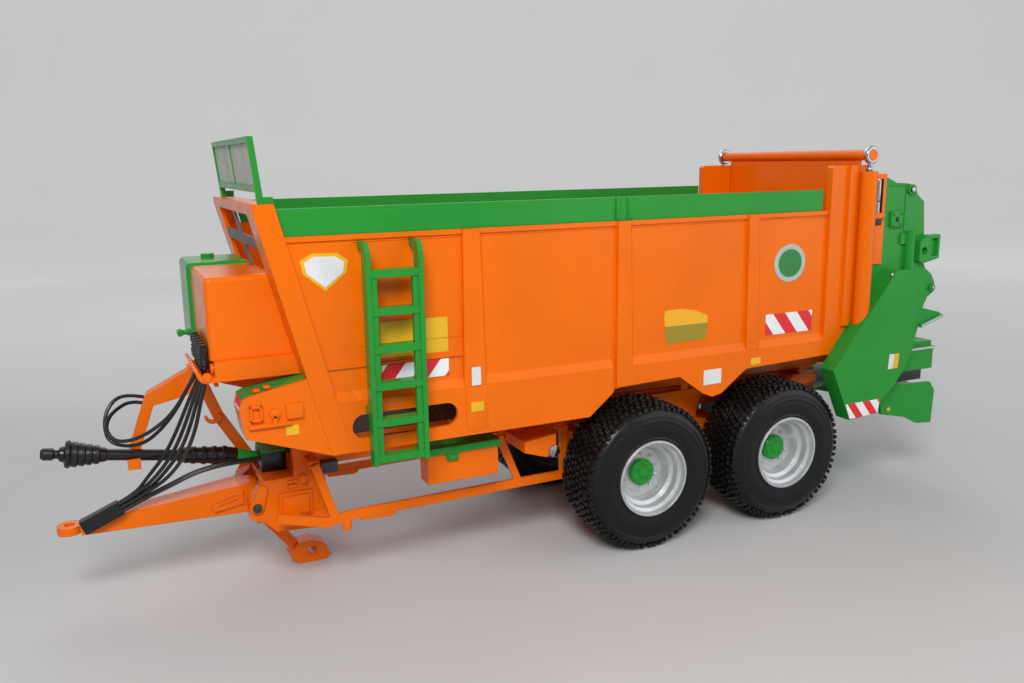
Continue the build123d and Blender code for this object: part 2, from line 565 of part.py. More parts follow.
# ================================================================ spreading unit
def unit_housing():
    """Side plates, roof, rear beam and disc covers of the spreading unit, in one welded piece."""
    px, pz = DOOR_PIVOT
    # columns: x, z
    front = UNIT_X + CHANNEL_W
    outline = [(UNIT_X, 57.9), (UNIT_X, CHANNEL_FOOT_Z), (front, CHANNEL_FOOT_Z), (front, 121.8),
               (107.9, 119.2), (px - 1.2, 118.8),
               (px + 2.0, 117.8), (119.2, 114.5), (122.6, 112.0), (123.9, 100.5), (124.0, 90.0),
               (126.2, 86.6), (129.6, 84.2),
               (131.8, 80.6), (131.4, 77.2), (128.4, 75.4), (126.6, 72.0), (124.6, 64.0), (122.0, 55.0),
               (104.0, 52.0)]
    side = plate_xz(outline, (-UNIT_Y, -UNIT_Y + UNIT_T))
    for z in BEATER_Z:
        side -= rod_y((BEATER_X, z), JOURNAL_R + RUN_FIT, (-UNIT_Y - 1, -UNIT_Y + 3))
    side -= rod_y(DOOR_PIVOT, JOURNAL_R + RUN_FIT, (-UNIT_Y - 1, -UNIT_Y + 3))
    # boxed lug behind the beaters' bearings, with a round hole and a shallow pocket
    lug_y = -UNIT_Y - 2.6
    lug = plate_xz([(119.4, 90.0), (119.4, 97.6), (123.6, 99.6), (129.8, 99.6), (129.8, 90.6), (121.6, 89.0)],
                   (lug_y, -UNIT_Y))
    lug -= rod_y((121.9, 93.6), 1.5, (lug_y - 1, lug_y + 1.8))
    lug -= block((125.2, 128.8), (lug_y - 1, lug_y + 1.2), (91.6, 98.2))
    # upright tube, beater bearings and the ring eyes of the door's top and bottom pins
    lug += rod_z((115.8, -UNIT_Y - 0.6), 2.0, (86.6, 101.4))
    lug += block((111.0, 115.8), (-UNIT_Y - 0.8, -UNIT_Y), (96.6, 100.6))
    # columns: place (x, z), radius of the ring, radius of its bore, depth of the bore
    rings = [((BEATER_X, z), 2.9, JOURNAL_R + RUN_FIT, 2.0) for z in BEATER_Z]
    rings += [(DOOR_PIVOT, 1.9, JOURNAL_R + RUN_FIT, 2.0), ((129.8, 79.0), 1.5, 0.8, 0.8)]
    for place, ring_r, bore_r, depth in rings:
        lug += rod_y(place, ring_r, (-UNIT_Y - 0.9, -UNIT_Y))
        lug -= rod_y(place, bore_r, (-UNIT_Y - 1.0, -UNIT_Y - 1.0 + depth))
    # wedge-shaped light bracket with its round lower edge, and the box with its lip below
    wedge = plate_xz([(123.0, 71.4), (127.4, 71.0), (136.0, 68.8), (136.6, 67.4), (125.0, 64.2),
                      (122.0, 64.2)],
                     (-UNIT_Y, -UNIT_Y + UNIT_T))
    wedge += bar_xz((124.8, 64.4), (136.7, 67.6), 1.2, (-UNIT_Y - 1.1, -UNIT_Y))
    cover = block((113.0, 134.0), (-UNIT_Y, -30.0), (46.8, 54.6)) + block((121.0, 134.4),
                                                                          (-UNIT_Y - 0.5, -30.0),
                                                                          (54.6, 55.7))
    half = UNIT_Y - UNIT_T
    side = side + lug + wedge + cover
    roof = plate_xz([(front, 121.8), (107.9, 119.2), (111.6, 118.9), (111.6, 117.7), (107.6, 118.0),
                     (front, 120.4)], (-half, half))
    beam = block((118.0, REAR_REACH - 2.6), (-half, half), (55.2, 57.6))
    keep("unit_housing", side + other_side(side) + roof + beam)


def disc_deck():
    """Deck plate under the discs with its hanging side skirts."""
    half = UNIT_Y - UNIT_T
    plan = [(88.0, -16.0), (97.0, -16.0), (104.0, -half), (134.0, -half), (134.6, -20.0), (134.6, 20.0),
            (134.0, half), (104.0, half),
            (97.0, 16.0), (88.0, 16.0)]
    deck = plate_xy(plan, (DECK_Z, DECK_Z + DECK_T))
    for side in (-1, 1):
        deck += rod_z((DISC_X, side * DISC_Y), 3.0, (DECK_Z, DECK_Z + DECK_T + 2.0))
        deck -= rod_z((DISC_X, side * DISC_Y), SPINDLE_R + RUN_FIT, (DECK_Z - 1, DECK_Z + 8))
    # columns: x, z
    outline = [(106.0, 42.6), (134.0, 41.0), (REAR_REACH - 0.2, 37.4), (REAR_REACH - 0.8, 24.0),
               (128.0, 24.8), (121.4, 28.2), (108.4, 31.0)]
    skirt = plate_xz(outline, (-half - 1.2, -half))
    keep("disc_deck", deck + skirt + other_side(skirt))


def side_guards():
    """Big plate guards outside the unit, folded in along their front edges."""
    front = guard_front_line()
    rear = [(112.0, 87.7), (115.7, 72.2), (115.6, 58.8), (112.1, 51.5), (106.6, 44.4), (100.3, 39.4),
            (99.0, 35.0)]
    face = plate_xz(rear + list(reversed(front)), (-GUARD_Y, -GUARD_Y + GUARD_T))
    inner = [(x + 1.1, z - 0.5) for x, z in front[:3]] + [(front[3][0] + 1.3, front[3][1] - 0.1),
                                                          (front[4][0] + 1.0, front[4][1] + 0.4)]
    fold = plate_xz(front + list(reversed(inner)), (-GUARD_Y + GUARD_T, -RIB_Y))
    pair("side_guards", face + fold)


def flight_plate():
    """One plate of a beater's flight, upright above the shaft, with a hooked tooth at each end."""
    tip, rim = BEATER_TIP_R, BEATER_FLIGHT_R
    # columns: along the turn, out from the shaft's middle
    outline = [(-2.6, 0.6), (-4.6, 4.4), (-5.0, 7.9), (-3.9, 8.2), (-2.9, rim - 0.9), (0.0, rim),
               (1.7, rim - 0.2), (1.4, tip),
               (2.7, tip - 0.5), (3.8, rim - 1.0), (4.4, 4.2), (2.6, 0.6)]
    blade = extrude(Plane(origin=(0, 0.4, 0), x_dir=(1, 0, 0),
                          z_dir=(0, -1, 0)) * make_face(Polyline(*outline, close=True)), amount=0.8)
    return Rot(0, 0, BEATER_LEAD) * blade


def beater(z, hand):
    """Beater: shaft with a two-start flight of toothed plates, wound outwards from the middle."""
    half = UNIT_Y - UNIT_T - CLEAR
    whole = rod_y((BEATER_X, z), BEATER_SHAFT_R, (-half, half)) + rod_y((BEATER_X, z), JOURNAL_R,
                                                                        (-half - 1.2, half + 1.2))
    for y in (-half + 0.4, half - 0.4):
        whole += rod_y((BEATER_X, z), BEATER_SHAFT_R + 1.6, (y - 0.4, y + 0.4))
    margin = 3.4
    pitch = (2 * half - 2 * margin) / (BEATER_STATIONS - 1)
    for i in range(BEATER_STATIONS):
        mirror_i = BEATER_STATIONS - 1 - i
        lead = 1 if i < mirror_i else -1
        turn = hand * 45.0 * min(i, mirror_i)
        plate = flight_plate() if lead * hand > 0 else mirror(flight_plate(), about=Plane.XZ)
        for start in (0, 180):
            whole += Pos(ax(BEATER_X), -half + margin + i * pitch, z) * Rot(0, turn + start, 0) * plate
    return whole


def spreading_disc(side):
    """Flat disc with four raised vanes on its own spindle."""
    whole = Cylinder(DISC_R, 0.9) + Pos(0, 0, 1.4) * Cone(3.4, 2.0, 2.0)
    for i in range(4):
        whole += Rot(0, 0, side * (i * 90 + 20)) * Pos(9.2, 1.6, 1.35) * Box(11.6, 0.7, 2.0)
    spindle_foot = DECK_Z + 0.4 - DISC_Z
    whole += Pos(0, 0, spindle_foot / 2) * Cylinder(SPINDLE_R, -spindle_foot)
    return Pos(ax(DISC_X), side * DISC_Y, DISC_Z) * whole


def unit_door():
    """Curved rear door hung from its barrel between the side plates."""
    px, pz = DOOR_PIVOT
    outside = [(px + 0.4, pz + DOOR_BARREL_R - 0.1), (118.6, 114.2), (121.4, 111.2), (122.6, 100.2),
               (123.2, 90.0), (126.0, 85.6), (131.2, 82.4),
               (130.8, 78.0), (128.2, 75.6), (128.2, 67.6)]
    inside = [(127.0, 67.6), (127.0, 76.2), (129.6, 78.6), (130.0, 81.6), (125.2, 84.6), (122.0, 89.4),
              (121.4, 99.8), (120.2, 110.4),
              (117.6, 112.8), (px - 0.4, pz - DOOR_BARREL_R + 0.3)]
    half = UNIT_Y - UNIT_T - CLEAR
    door = plate_xz(outside + inside, (-half, half)) + rod_y(DOOR_PIVOT, DOOR_BARREL_R, (-half, half))
    # upright stiffeners on the door's outer face
    for y in (-21.0, 0.0, 21.0):
        door += plate_xz([(121.4, 111.0), (123.6, 100.4), (124.4, 89.4), (123.0, 89.0), (122.4, 100.0),
                          (121.0, 110.6)], (y - 0.6, y + 0.6))
    keep("unit_door", door + rod_y(DOOR_PIVOT, JOURNAL_R, (-half - 1.2, half + 1.2)))


def spreading():
    """Two beaters, two discs and the door behind them."""
    keep("beater_lower", beater(BEATER_Z[0], 1))
    keep("beater_upper", beater(BEATER_Z[1], -1))
    keep("disc_left", spreading_disc(-1))
    keep("disc_right", spreading_disc(1))
    unit_door()


# ================================================================ front gear
def drawbar_half_width(x):
    """Half width of the drawbar at a station."""
    return 2.2 + (x - BAR_X[0]) / (BAR_X[1] - BAR_X[0]) * 2.8


def drawbar():
    """Tapered box drawbar with its towing eye, and the headstock that carries it."""
    nose, heel = BAR_X
    side = plate_xz([(nose, 23.9), (nose, 27.7), (heel, 32.4), (heel + 6.0, 31.6), (heel + 7.8, 27.0),
                     (heel + 6.0, 23.4)], (-6, 6))
    plan = [(x, -drawbar_half_width(x)) for x in BAR_X] + [(heel + 8.0, -5.0)]
    plan += [(x, -y) for x, y in reversed(plan)]
    bar = side & plate_xy(plan, (20, 36))
    # doubling plate with two pressed slots on each side of the heel
    patch = plate_xz([(heel - 8.6, 26.6), (heel - 8.0, 27.8), (heel + 1.0, 30.6), (heel + 1.2, 26.4),
                      (heel - 7.6, 25.2)], (-5.5, -4.0))
    for rise in (0.0, 1.3):
        patch -= bar_xz((heel - 6.6, 26.6 + rise), (heel - 0.6, 28.0 + rise), 0.5, (-6.5, -5.2))
    bar += patch + other_side(patch)
    eye = Pos(ax(EYE_X), 0, EYE_Z) * Cylinder(EYE_R, EYE_T) + block((EYE_X + 2.0, nose + 0.5), (-2.0, 2.0),
                                                                    (EYE_Z - EYE_T / 2, EYE_Z + EYE_T / 2))
    eye -= Pos(ax(EYE_X), 0, EYE_Z) * Cylinder(EYE_BORE_R, 2 * EYE_T)
    keep("drawbar", bar + eye - rod_y(HITCH_PIN, HITCH_PIN_R + SEAT, (-9, 9)))

    # columns: x, z of the headstock's cheek
    outline = [(-125.6, 24.6), (-125.2, 30.4), (-121.8, 33.0), (-121.0, HEAD_TOP_Z), (-112.0, HEAD_TOP_Z),
               (-112.0, BEAM_Z[0]), (-103.0, BEAM_Z[0]),
               (-101.0, 22.6), (-104.0, 18.4), (-118.0, 19.2), (-121.8, 23.0)]
    cheek = plate_xz(outline, (-HEAD_Y, -CHEEK_Y))
    cheek += block((-117.0, -107.0), (-HEAD_Y - 0.8, -HEAD_Y), (23.6, 31.4)) + rod_y((-109.4, 35.2), 1.5,
                                                                                     (-HEAD_Y - 1.4, -HEAD_Y))
    head = cheek + other_side(cheek) + rod_y(HITCH_PIN, HITCH_PIN_R,
                                             (-CHEEK_Y, CHEEK_Y)) + block((-117.6, -103.0),
                                                                          (-CHEEK_Y, CHEEK_Y), (21.4, 30.8))
    head += block((-121.0, -112.0), (-CHEEK_Y, CHEEK_Y), (33.4, HEAD_TOP_Z))
    # ears for the stand
    ear_gap = STAND_T / 2 + CLEAR
    px, pz = STAND_PIVOT
    ears = None
    for y in (STAND_Y - ear_gap - STAND_EAR_T, STAND_Y + ear_gap):
        ear = plate_xz([(px - 2.0, pz - 1.8), (px + 2.0, pz - 1.8), (px + 5.6, 22.0), (px + 1.8, 22.0),
                        (px - 2.0, pz + 1.8)], (y, y + STAND_EAR_T))
        ears = ear if ears is None else ears + ear
    ears -= rod_y(STAND_PIVOT, STAND_PIN_R + RUN_FIT, (-20, 20))
    keep("headstock", head + ears)


def stand():
    """Parking stand that swings up about a pin between two ears of the headstock."""
    px, pz = STAND_PIVOT
    y = (STAND_Y - STAND_T / 2, STAND_Y + STAND_T / 2)
    leg = bar_xz((px, pz), (-108.6, 4.4), 3.2, y) + rod_y(STAND_PIVOT, 1.8, y)
    foot_half = 3.0
    foot = plate_xz([(-112.0, 3.4), (-109.0, 0.0), (-100.6, 0.0), (-98.8, 1.6), (-100.2, 5.6),
                     (-105.0, 7.6), (-109.0, 7.2)],
                    (STAND_Y - foot_half, STAND_Y + foot_half))
    foot -= rod_y((-104.6, 3.9), 1.5, (STAND_Y - 4, STAND_Y + 4))
    pin = rod_y(STAND_PIVOT, STAND_PIN_R, (y[0] - CLEAR - STAND_EAR_T - 0.3,
                                           y[1] + CLEAR + STAND_EAR_T + 0.3))
    keep("stand_leg", leg + foot + pin)


def guard_rails():
    """Bent flat-bar rails along each side below the body, each with two struts."""
    y = (RAIL_BAR_Y - RAIL_BAR_T / 2, RAIL_BAR_Y + RAIL_BAR_T / 2)
    beam_face = -BEAM_Y - BEAM_W / 2
    rail = bar_xz((-119.0, 26.2), (-103.5, 22.0), 3.0, y) + bar_xz((-104.0, 22.1), (-97.0, 23.4), 3.0,
                                                                   y) + bar_xz((-97.6, 23.3), (-20.0, 23.9),
                                                                               3.0, y)
    rail += bar_xz((-107.0, 41.0), (-101.4, 22.6), 2.6, y) + bar_xz((-46.4, 41.0), (-39.4, 23.6), 2.4,
                                                                    y) + block((-24.0, -21.0), y,
                                                                               (23.0, 41.0))
    for x in (-107.0, -46.4, -22.5):
        rail += block((x - 1.6, x + 1.6), (y[1] - 0.1, beam_face), (39.4, 42.0))
    rail += block((-116.6, -112.0), (y[1] - 0.1, -HEAD_Y - 0.8), (24.4, 26.2))
    pair("guard_rails", rail)


def side_box():
    """Tool box under the left side of the body, with its lid."""
    beam_face = -BEAM_Y - BEAM_W / 2
    box = block((-74.2, -50.6), (-30.0, -23.0), (31.6, 41.0)) + block((-70.0, -55.0), (-23.0, beam_face),
                                                                      (38.6, 41.0))
    keep("side_box", box)
    lid = block((-75.4, -50.0), (-30.8, -22.4), (41.0, 43.2)) + block((-68.0, -64.4), (-30.9, -30.0),
                                                                      (38.6, 41.0))
    keep("side_box_lid", lid)


def shaft_tilt():
    """Fall of the parked drive shaft towards the rear, in degrees."""
    return degrees(atan2(SHAFT_NOSE[1] - SHAFT_TAIL[1], SHAFT_TAIL[0] - SHAFT_NOSE[0]))


def shaft_length():
    """Length of the drive shaft along its own axis."""
    return ((SHAFT_TAIL[0] - SHAFT_NOSE[0]) ** 2 + (SHAFT_NOSE[1] - SHAFT_TAIL[1]) ** 2) ** 0.5


def shaft_z(x):
    """Height of the drive shaft's middle at a station."""
    return SHAFT_NOSE[1] - (x - SHAFT_NOSE[0]) * tan(radians(shaft_tilt()))


def drive_shaft():
    """Articulated drive shaft with ribbed guard bells, parked in its hook."""
    # columns: distance along the shaft from its nose, radius
    section = [(0.0, 1.2), (0.8, 1.8), (3.2, 1.8), (3.6, 1.3), (4.6, 1.3), (5.0, 2.1), (6.0, 2.3),
               (6.4, 3.8), (7.4, 4.1), (8.0, 3.5)]
    for step in range(4):
        start, r = 8.6 + 1.9 * step, 3.7 - 0.3 * step
        section += [(start, r), (start + 0.9, r), (start + 1.2, r - 0.5)]
    section += [(17.2, 2.0), (17.4, SHAFT_TUBE_R), (36.8, SHAFT_TUBE_R), (37.0, 2.2), (38.6, 2.2),
                (38.8, 2.5)]
    for step in range(4):
        start, r = 40.6 + 3.0 * step, 2.7 + 0.1 * step
        section += [(start, r - 0.3), (start + 0.3, r), (start + 1.3, r), (start + 1.6, r - 0.3)]
    section += [(shaft_length(), 2.4)]
    tilt = shaft_tilt()
    profile = [(0.0, 0.0)] + section + [(section[-1][0], 0.0)]
    solid = revolve(Plane.XZ * make_face(Polyline(*profile, close=True)), axis=Axis.X, revolution_arc=360)
    nose = ax(SHAFT_NOSE[0]) + section[0][1] * sin(radians(tilt))
    keep("drive_shaft", Pos(nose, 0, SHAFT_NOSE[1]) * Rot(0, tilt, 0) * solid)


def hose_bracket():
    """Gooseneck bracket with the hook that holds the parked drive shaft."""
    y = (4.0, 7.6)
    post = bar_xz((-119.0, HEAD_TOP_Z - 3.0), (-130.4, 53.0), 3.4, y) + bar_xz((-130.0, 52.0),
                                                                               (-136.6, 70.0), 3.4, y)
    post -= block((-130, -100), (3, 9), (20, HEAD_TOP_Z))
    arm = plate_xz([(-134.0, 70.6), ARM_END[1], ARM_END[0], (-139.4, 60.6), (-134.0, 63.6)], ARM_Y)
    hook_x = -155.6
    tube_low = shaft_z(hook_x) - SHAFT_TUBE_R - CLEAR
    inner = SHAFT_TUBE_R + CLEAR
    leg = bar_xz((-149.4, 61.4), (hook_x, tube_low + 1.0), 3.2, (inner + 1.0, inner + 2.4))
    x = (hook_x - 1.8, hook_x + 1.8)
    hook = block(x, (-inner - 1.0, inner + 2.4), (tube_low - 1.7, tube_low - 0.3))
    hook += block(x, (-inner - 1.0, -inner), (tube_low - 1.7, tube_low + 1.4))
    hook += block(x, (inner + 1.0, inner + 2.4), (tube_low - 1.7, tube_low + 2.0))
    # small open hook on the post, below the arm
    at = (-132.0, 53.4)
    claw = rod_y(at, 2.6, (2.8, 4.4)) - rod_y(at, 1.6, (2, 5)) - block((-140, -120), (2, 5), (at[1], 60))
    keep("hose_bracket", post + arm + leg + hook + claw)


def ahead_of_wall(shape):
    """Trim a box on the front wall to the wall's front face."""
    return shape - front_band(FLOOR_Z - 10, FRONT_TOP_Z + 12, 0, 80, (-60, 60))


def rounded_box(x, y, z):
    """Sheet-metal box with rounded upright and upper edges."""
    box = block(x, y, z)
    return fillet(box.edges().filter_by(Axis.Z) + box.faces().sort_by(Axis.Z)[-1].edges(), HOUSING_ROUND)


def front_boxes():
    """Valve housing, oil tank and the shelf below them with its comb for the hoses."""
    low, high = SHELF_Z + SHELF_T, HOUSING_TOP_Z
    back = FRONT_FOOT_X + 5.0
    keep("valve_housing", ahead_of_wall(rounded_box((HOUSING_X, back), HOUSING_Y, (low, high))))
    tank_x = HOUSING_X - 1.0
    tank = ahead_of_wall(rounded_box((tank_x, back), (HOUSING_Y[1], TANK_Y), (low, high + 0.8)))
    tap_y, tap_z = 14.4, 78.2
    tap = rod_x((tap_y, tap_z), 0.8, (tank_x - 2.6, tank_x))
    tap += rod_x((tap_y, tap_z), 1.1, (tank_x - 0.6, tank_x))
    tap += rod_y((tank_x - 2.6, tap_z), 1.0, (tap_y - 1.7, tap_y + 1.7))
    tap += rod_z((tank_x + 8.0, 20.0), 2.0, (high + 0.8, high + 2.0))
    keep("oil_tank", tank + tap)

    shelf_x = HOUSING_X + 0.9
    shelf = ahead_of_wall(block((shelf_x, back), (-30.0, 29.0), (SHELF_Z, low)))
    shelf += rod_x((-25.6, SHELF_Z + 2.9), 1.7, (shelf_x - 0.8, shelf_x))
    # lip with a rounded bend below and short teeth between the hoses
    lip_x, lip_z = HOUSING_X - 3.4, SHELF_Z + 3.9
    comb = plate_xz([(shelf_x, SHELF_Z), (shelf_x, SHELF_Z + 1.4), (lip_x + 1.8, SHELF_Z + 1.4),
                     (lip_x + 0.9, SHELF_Z + 2.0), (lip_x - 0.1, lip_z), (lip_x - 1.0, lip_z - 0.2),
                     (lip_x - 0.2, SHELF_Z + 1.6), (lip_x + 0.5, SHELF_Z + 0.5), (lip_x + 1.6, SHELF_Z)],
                    (-30.0, HOSE_FIRST_Y + COUPLING_COUNT * HOSE_PITCH - 2.0))
    comb += rod_y((lip_x + 2.2, SHELF_Z + 1.7), 1.2, (-30.3, -29.0))
    notch_half = 1.1
    for i in range(COUPLING_COUNT):
        y = HOSE_FIRST_Y + i * HOSE_PITCH
        comb -= block((lip_x + 0.4, shelf_x - 0.5), (y - notch_half, y + notch_half),
                      (SHELF_Z - 1, SHELF_Z + 3))
        comb -= block((lip_x - 3, lip_x + 1.0), (y - notch_half / 2, y + notch_half / 2),
                      (SHELF_Z + 2.4, low + 3))
    keep("front_shelf", shelf + comb)


def front_cheeks():
    """Shaped side plates ahead of the corner posts, with a flange and a sloping cover."""
    # columns: x, z
    outline = [(-128.2, 56.6), (-129.4, 64.6), (-128.6, 67.4), (-126.4, 68.4), (front_x(71.3), 71.3),
               (front_x(FRONT_FOOT_Z), FRONT_FOOT_Z)]
    plate = plate_xz(outline, (-RIB_Y + 0.2, -PANEL_Y + 0.1))
    plate += plate_xz([(-128.2, 56.6), (-129.4, 64.6), (-128.6, 67.4), (-127.2, 67.4), (-128.0, 64.6),
                       (-126.8, 56.6)], (-PANEL_Y + 0.1, -27.0))
    # pressed details: a frame, a boss and a tab above a low bar
    face = (-RIB_Y - 0.25, -RIB_Y + 0.3)
    frame_piece = block((-126.8, -123.8), face, (61.6, 65.6)) - block((-126.2, -124.4), (-40, -37.9),
                                                                      (62.2, 65.0))
    frame_piece += rod_y((-120.4, 63.0), 1.2, face) + block((-117.2, -112.8), face, (61.2, 65.2))
    frame_piece += block((-127.4, -116.4), face, (59.6, 60.5)) + block((-121.0, -119.8), face, (60.0, 63.0))
    pair("front_cheeks", plate + frame_piece)
    rest = plate_xz([(-128.6, 67.4), (-126.4, 68.4), (front_x(71.3), 71.3), (front_x(70.1), 70.1),
                     (-126.0, 67.4)], (-PANEL_Y + 0.1, -26.0))
    pair("cheek_covers", rest)


# ================================================================ hoses
def sleeve_point(along, up):
    """Point (x, z) in the sleeve: along it from its entry, and up across it from the lowest hose."""
    fall = radians(SLEEVE_FALL)
    return (SLEEVE_ENTRY[0] - along * cos(fall) - up * sin(fall),
            SLEEVE_ENTRY[1] - along * sin(fall) + up * cos(fall))


def sleeve_y(x, column):
    """Hose in the sleeve beside the drawbar at a station: column 0 next to the bar, column 1 outside."""
    return -drawbar_half_width(x) - 0.8 - column * SLEEVE_PITCH


def comb_to_sleeve(i):
    """Points (x, y, z) of a hose from its coupling through the comb to the sleeve on the drawbar."""
    y = HOSE_FIRST_Y + i * HOSE_PITCH
    row, column = 1 + i // 2, (i + 1) % 2
    up = row * SLEEVE_PITCH
    end, lead = sleeve_point(0, up), sleeve_point(2.2 * (i // 2) - 7.6, up)
    end_y = sleeve_y(SLEEVE_ENTRY[0], column)
    # columns: distance ahead of the coupling, share of the way across to the sleeve, z
    steps = [(0.0, 0.0, COUPLING_Z[0]), (0.0, 0.0, 71.0), (1.7 + 0.4 * i, 0.03, 65.5),
             (3.5 + 1.3 * i, 0.19, 56.4 - 0.5 * i), (6.2 + 1.7 * i, 0.53, 47.4 - 0.3 * i),
             (11.0 + 1.9 * i, 0.87, 39.1)]
    falling = [(COUPLING_X - ahead, y + share * (end_y - y), z) for ahead, share, z in steps]
    return falling + [(lead[0], end_y, lead[1]), (end[0], end_y, end[1])]


def sleeve_to_bearing(i):
    """Points of one of the two lower hoses, from the sleeve over the drawbar to the bearing housing."""
    y, start_y = LINE_HOSE_Y[i], sleeve_y(SLEEVE_ENTRY[0], i)
    start, lead = sleeve_point(0, 0), sleeve_point(-6.4, 0)
    # columns: x, distance below the hose's end
    steps = ((-146.4, 4.1), (-139.6, 1.3), (-131.5, 0.1), (-124.8, 0.0), (BEARING_X[0], 0.0))
    over = [(x, y, LINE_HOSE_Z - below) for x, below in steps]
    return [(start[0], start_y, start[1]), (lead[0], start_y, lead[1])] + over


def arm_point(up, out):
    """Point up along the front edge of the bracket's arm, and out from it at a right angle."""
    (x0, z0), (x1, z1) = ARM_END
    length = ((x1 - x0) ** 2 + (z1 - z0) ** 2) ** 0.5
    dx, dz = (x1 - x0) / length, (z1 - z0) / length
    return (x0 + up * dx - out * dz, (ARM_Y[0] + ARM_Y[1]) / 2, z0 + up * dz + out * dx)


def comb_to_arm(i):
    """Points of one of the two hoses that hang in a wide loop from the comb to the bracket's arm."""
    y = HOSE_FIRST_Y + (COUPLING_COUNT - 2 + i) * HOSE_PITCH
    if i == 0:
        loop = [(-139.3, -10.3, 67.0), (-143.5, -9.6, 60.0), (-148.5, -8.2, 55.2), (-154.5, -6.8, 51.9),
                (-159.9, -5.2, 51.4), (-162.3, -2.8, 54.4), (-161.4, 0.0, 57.4), (-158.7, 3.2, 59.2)]
    else:
        loop = [(-139.0, -6.5, 66.0), (-143.2, -6.5, 58.8), (-148.0, -6.0, 53.3), (-152.6, -4.6, 49.7),
                (-157.8, -2.2, 48.9), (-161.8, -0.4, 50.6), (-162.6, 1.0, 54.6), (-161.6, 2.6, 59.2),
                (-158.4, 4.4, 62.4)]
    up = 1.3 + 1.8 * i
    start = [(COUPLING_X, y, COUPLING_Z[0]), (COUPLING_X, y, 71.0)]
    return start + loop + [arm_point(up, 3.6), arm_point(up, 0)]


def tube_along(points, r):
    """Tube whose runs are joined by arcs as large as the runs allow."""
    vectors = [Vector(ax(x), y, z) for x, y, z in points]
    radii = []
    for before, corner, after in zip(vectors, vectors[1:], vectors[2:]):
        first, second = corner - before, after - corner
        turn = radians(first.get_angle(second))
        radii.append(0.45 * min(first.length, second.length) / tan(turn / 2))
    path = FilletPolyline(*vectors, radius=radii)
    start = Plane(origin=vectors[0], z_dir=vectors[1] - vectors[0])
    print("hose length", round(path.length, 1), "least radius", round(min(radii), 1))
    return sweep(start * Circle(r), path=path)


def hoses():
    """Hydraulic hoses, their couplings and the flat sleeve that gathers them beside the drawbar."""
    pairs = SLEEVE_ROWS - 1
    routes = [comb_to_sleeve(i) for i in range(2 * pairs)]
    routes += [sleeve_to_bearing(i) for i in range(LINE_HOSES)] + [comb_to_arm(i) for i in range(2)]
    for number, route in enumerate(routes, start=1):
        keep(f"hose_{number}", tube_along(route, HOSE_R))
    low, high = -0.9, pairs * SLEEVE_PITCH + 0.9
    side = plate_xz([sleeve_point(0, low), sleeve_point(0, high), sleeve_point(SLEEVE_LENGTH, high),
                     sleeve_point(SLEEVE_LENGTH, low)], (-9, 0))
    rear, front = SLEEVE_ENTRY[0], SLEEVE_ENTRY[0] - 20
    plan = [(x, -drawbar_half_width(x)) for x in (front, rear + 1)]
    plan += [(x, y - SLEEVE_PITCH - 1.6) for x, y in reversed(plan)]
    fittings = side & plate_xy(plan, (10, 50))
    for i in range(COUPLING_COUNT):
        at = (COUPLING_X, HOSE_FIRST_Y + i * HOSE_PITCH)
        fittings += rod_z(at, 1.0, COUPLING_Z) + rod_z(at, 1.25, (COUPLING_Z[0] + 1.2, COUPLING_Z[0] + 2.6))
    keep("hose_fittings", fittings)


# ================================================================ ladder
def ladder():
    """Ladder on the left side: channel rails with hooked tops, an inner frame and steps."""
    out_y = LADDER_OUT_Y
    depth = LADDER_DEPTH
    rail_w, inner_w = 1.4, 1.7
    z0, z1 = LADDER_Z
    steps_z = [z1 - 7.6 - i * STEP_PITCH for i in range(STEPS)]
    whole = None
    for x in (LADDER_X, LADDER_X + LADDER_W - rail_w):
        rail = plate_yz([(out_y, z0), (out_y, z1 - 3.0), (out_y + 0.9, z1 - 0.9), (out_y + 3.0, z1),
                         (-PANEL_Y, z1), (-PANEL_Y, z1 - 2.0),
                         (out_y + depth, z1 - 2.4), (out_y + depth, z0)], (x, x + rail_w))
        rail += block((x, x + rail_w), (out_y + depth, -RIB_Y), (60.0, 62.0))
        whole = rail if whole is None else whole + rail
    for x in (LADDER_X + rail_w, LADDER_X + LADDER_W - rail_w - inner_w):
        whole += block((x, x + inner_w), (out_y + 0.5, out_y + 2.0), (z0 + 1.6, steps_z[0]))
    inside = (LADDER_X + rail_w, LADDER_X + LADDER_W - rail_w)
    for z in steps_z:
        whole += block(inside, (out_y + 0.2, out_y + depth), (z - 0.8, z))
        whole += block(inside, (out_y + 0.2, out_y + 1.1), (z - 2.2, z))
    keep("ladder", whole)


wheels()
running_gear()
frame()
side_walls()
front_wall()
load_floor()
boards()
headboard()
rear_posts()
rear_gate()
unit_housing()
disc_deck()
side_guards()
spreading()
drawbar()
stand()
guard_rails()
side_box()
drive_shaft()
hose_bracket()
front_boxes()
front_cheeks()
hoses()
ladder()

os.makedirs("parts", exist_ok=True)
for node_name, node_shape in PARTS.items():
    export_step(node_shape, f"parts/{node_name}.step")
print(len(PARTS), "nodes written")
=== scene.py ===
import json
import math
import random

import bmesh
import bpy
from mathutils import Matrix, Vector


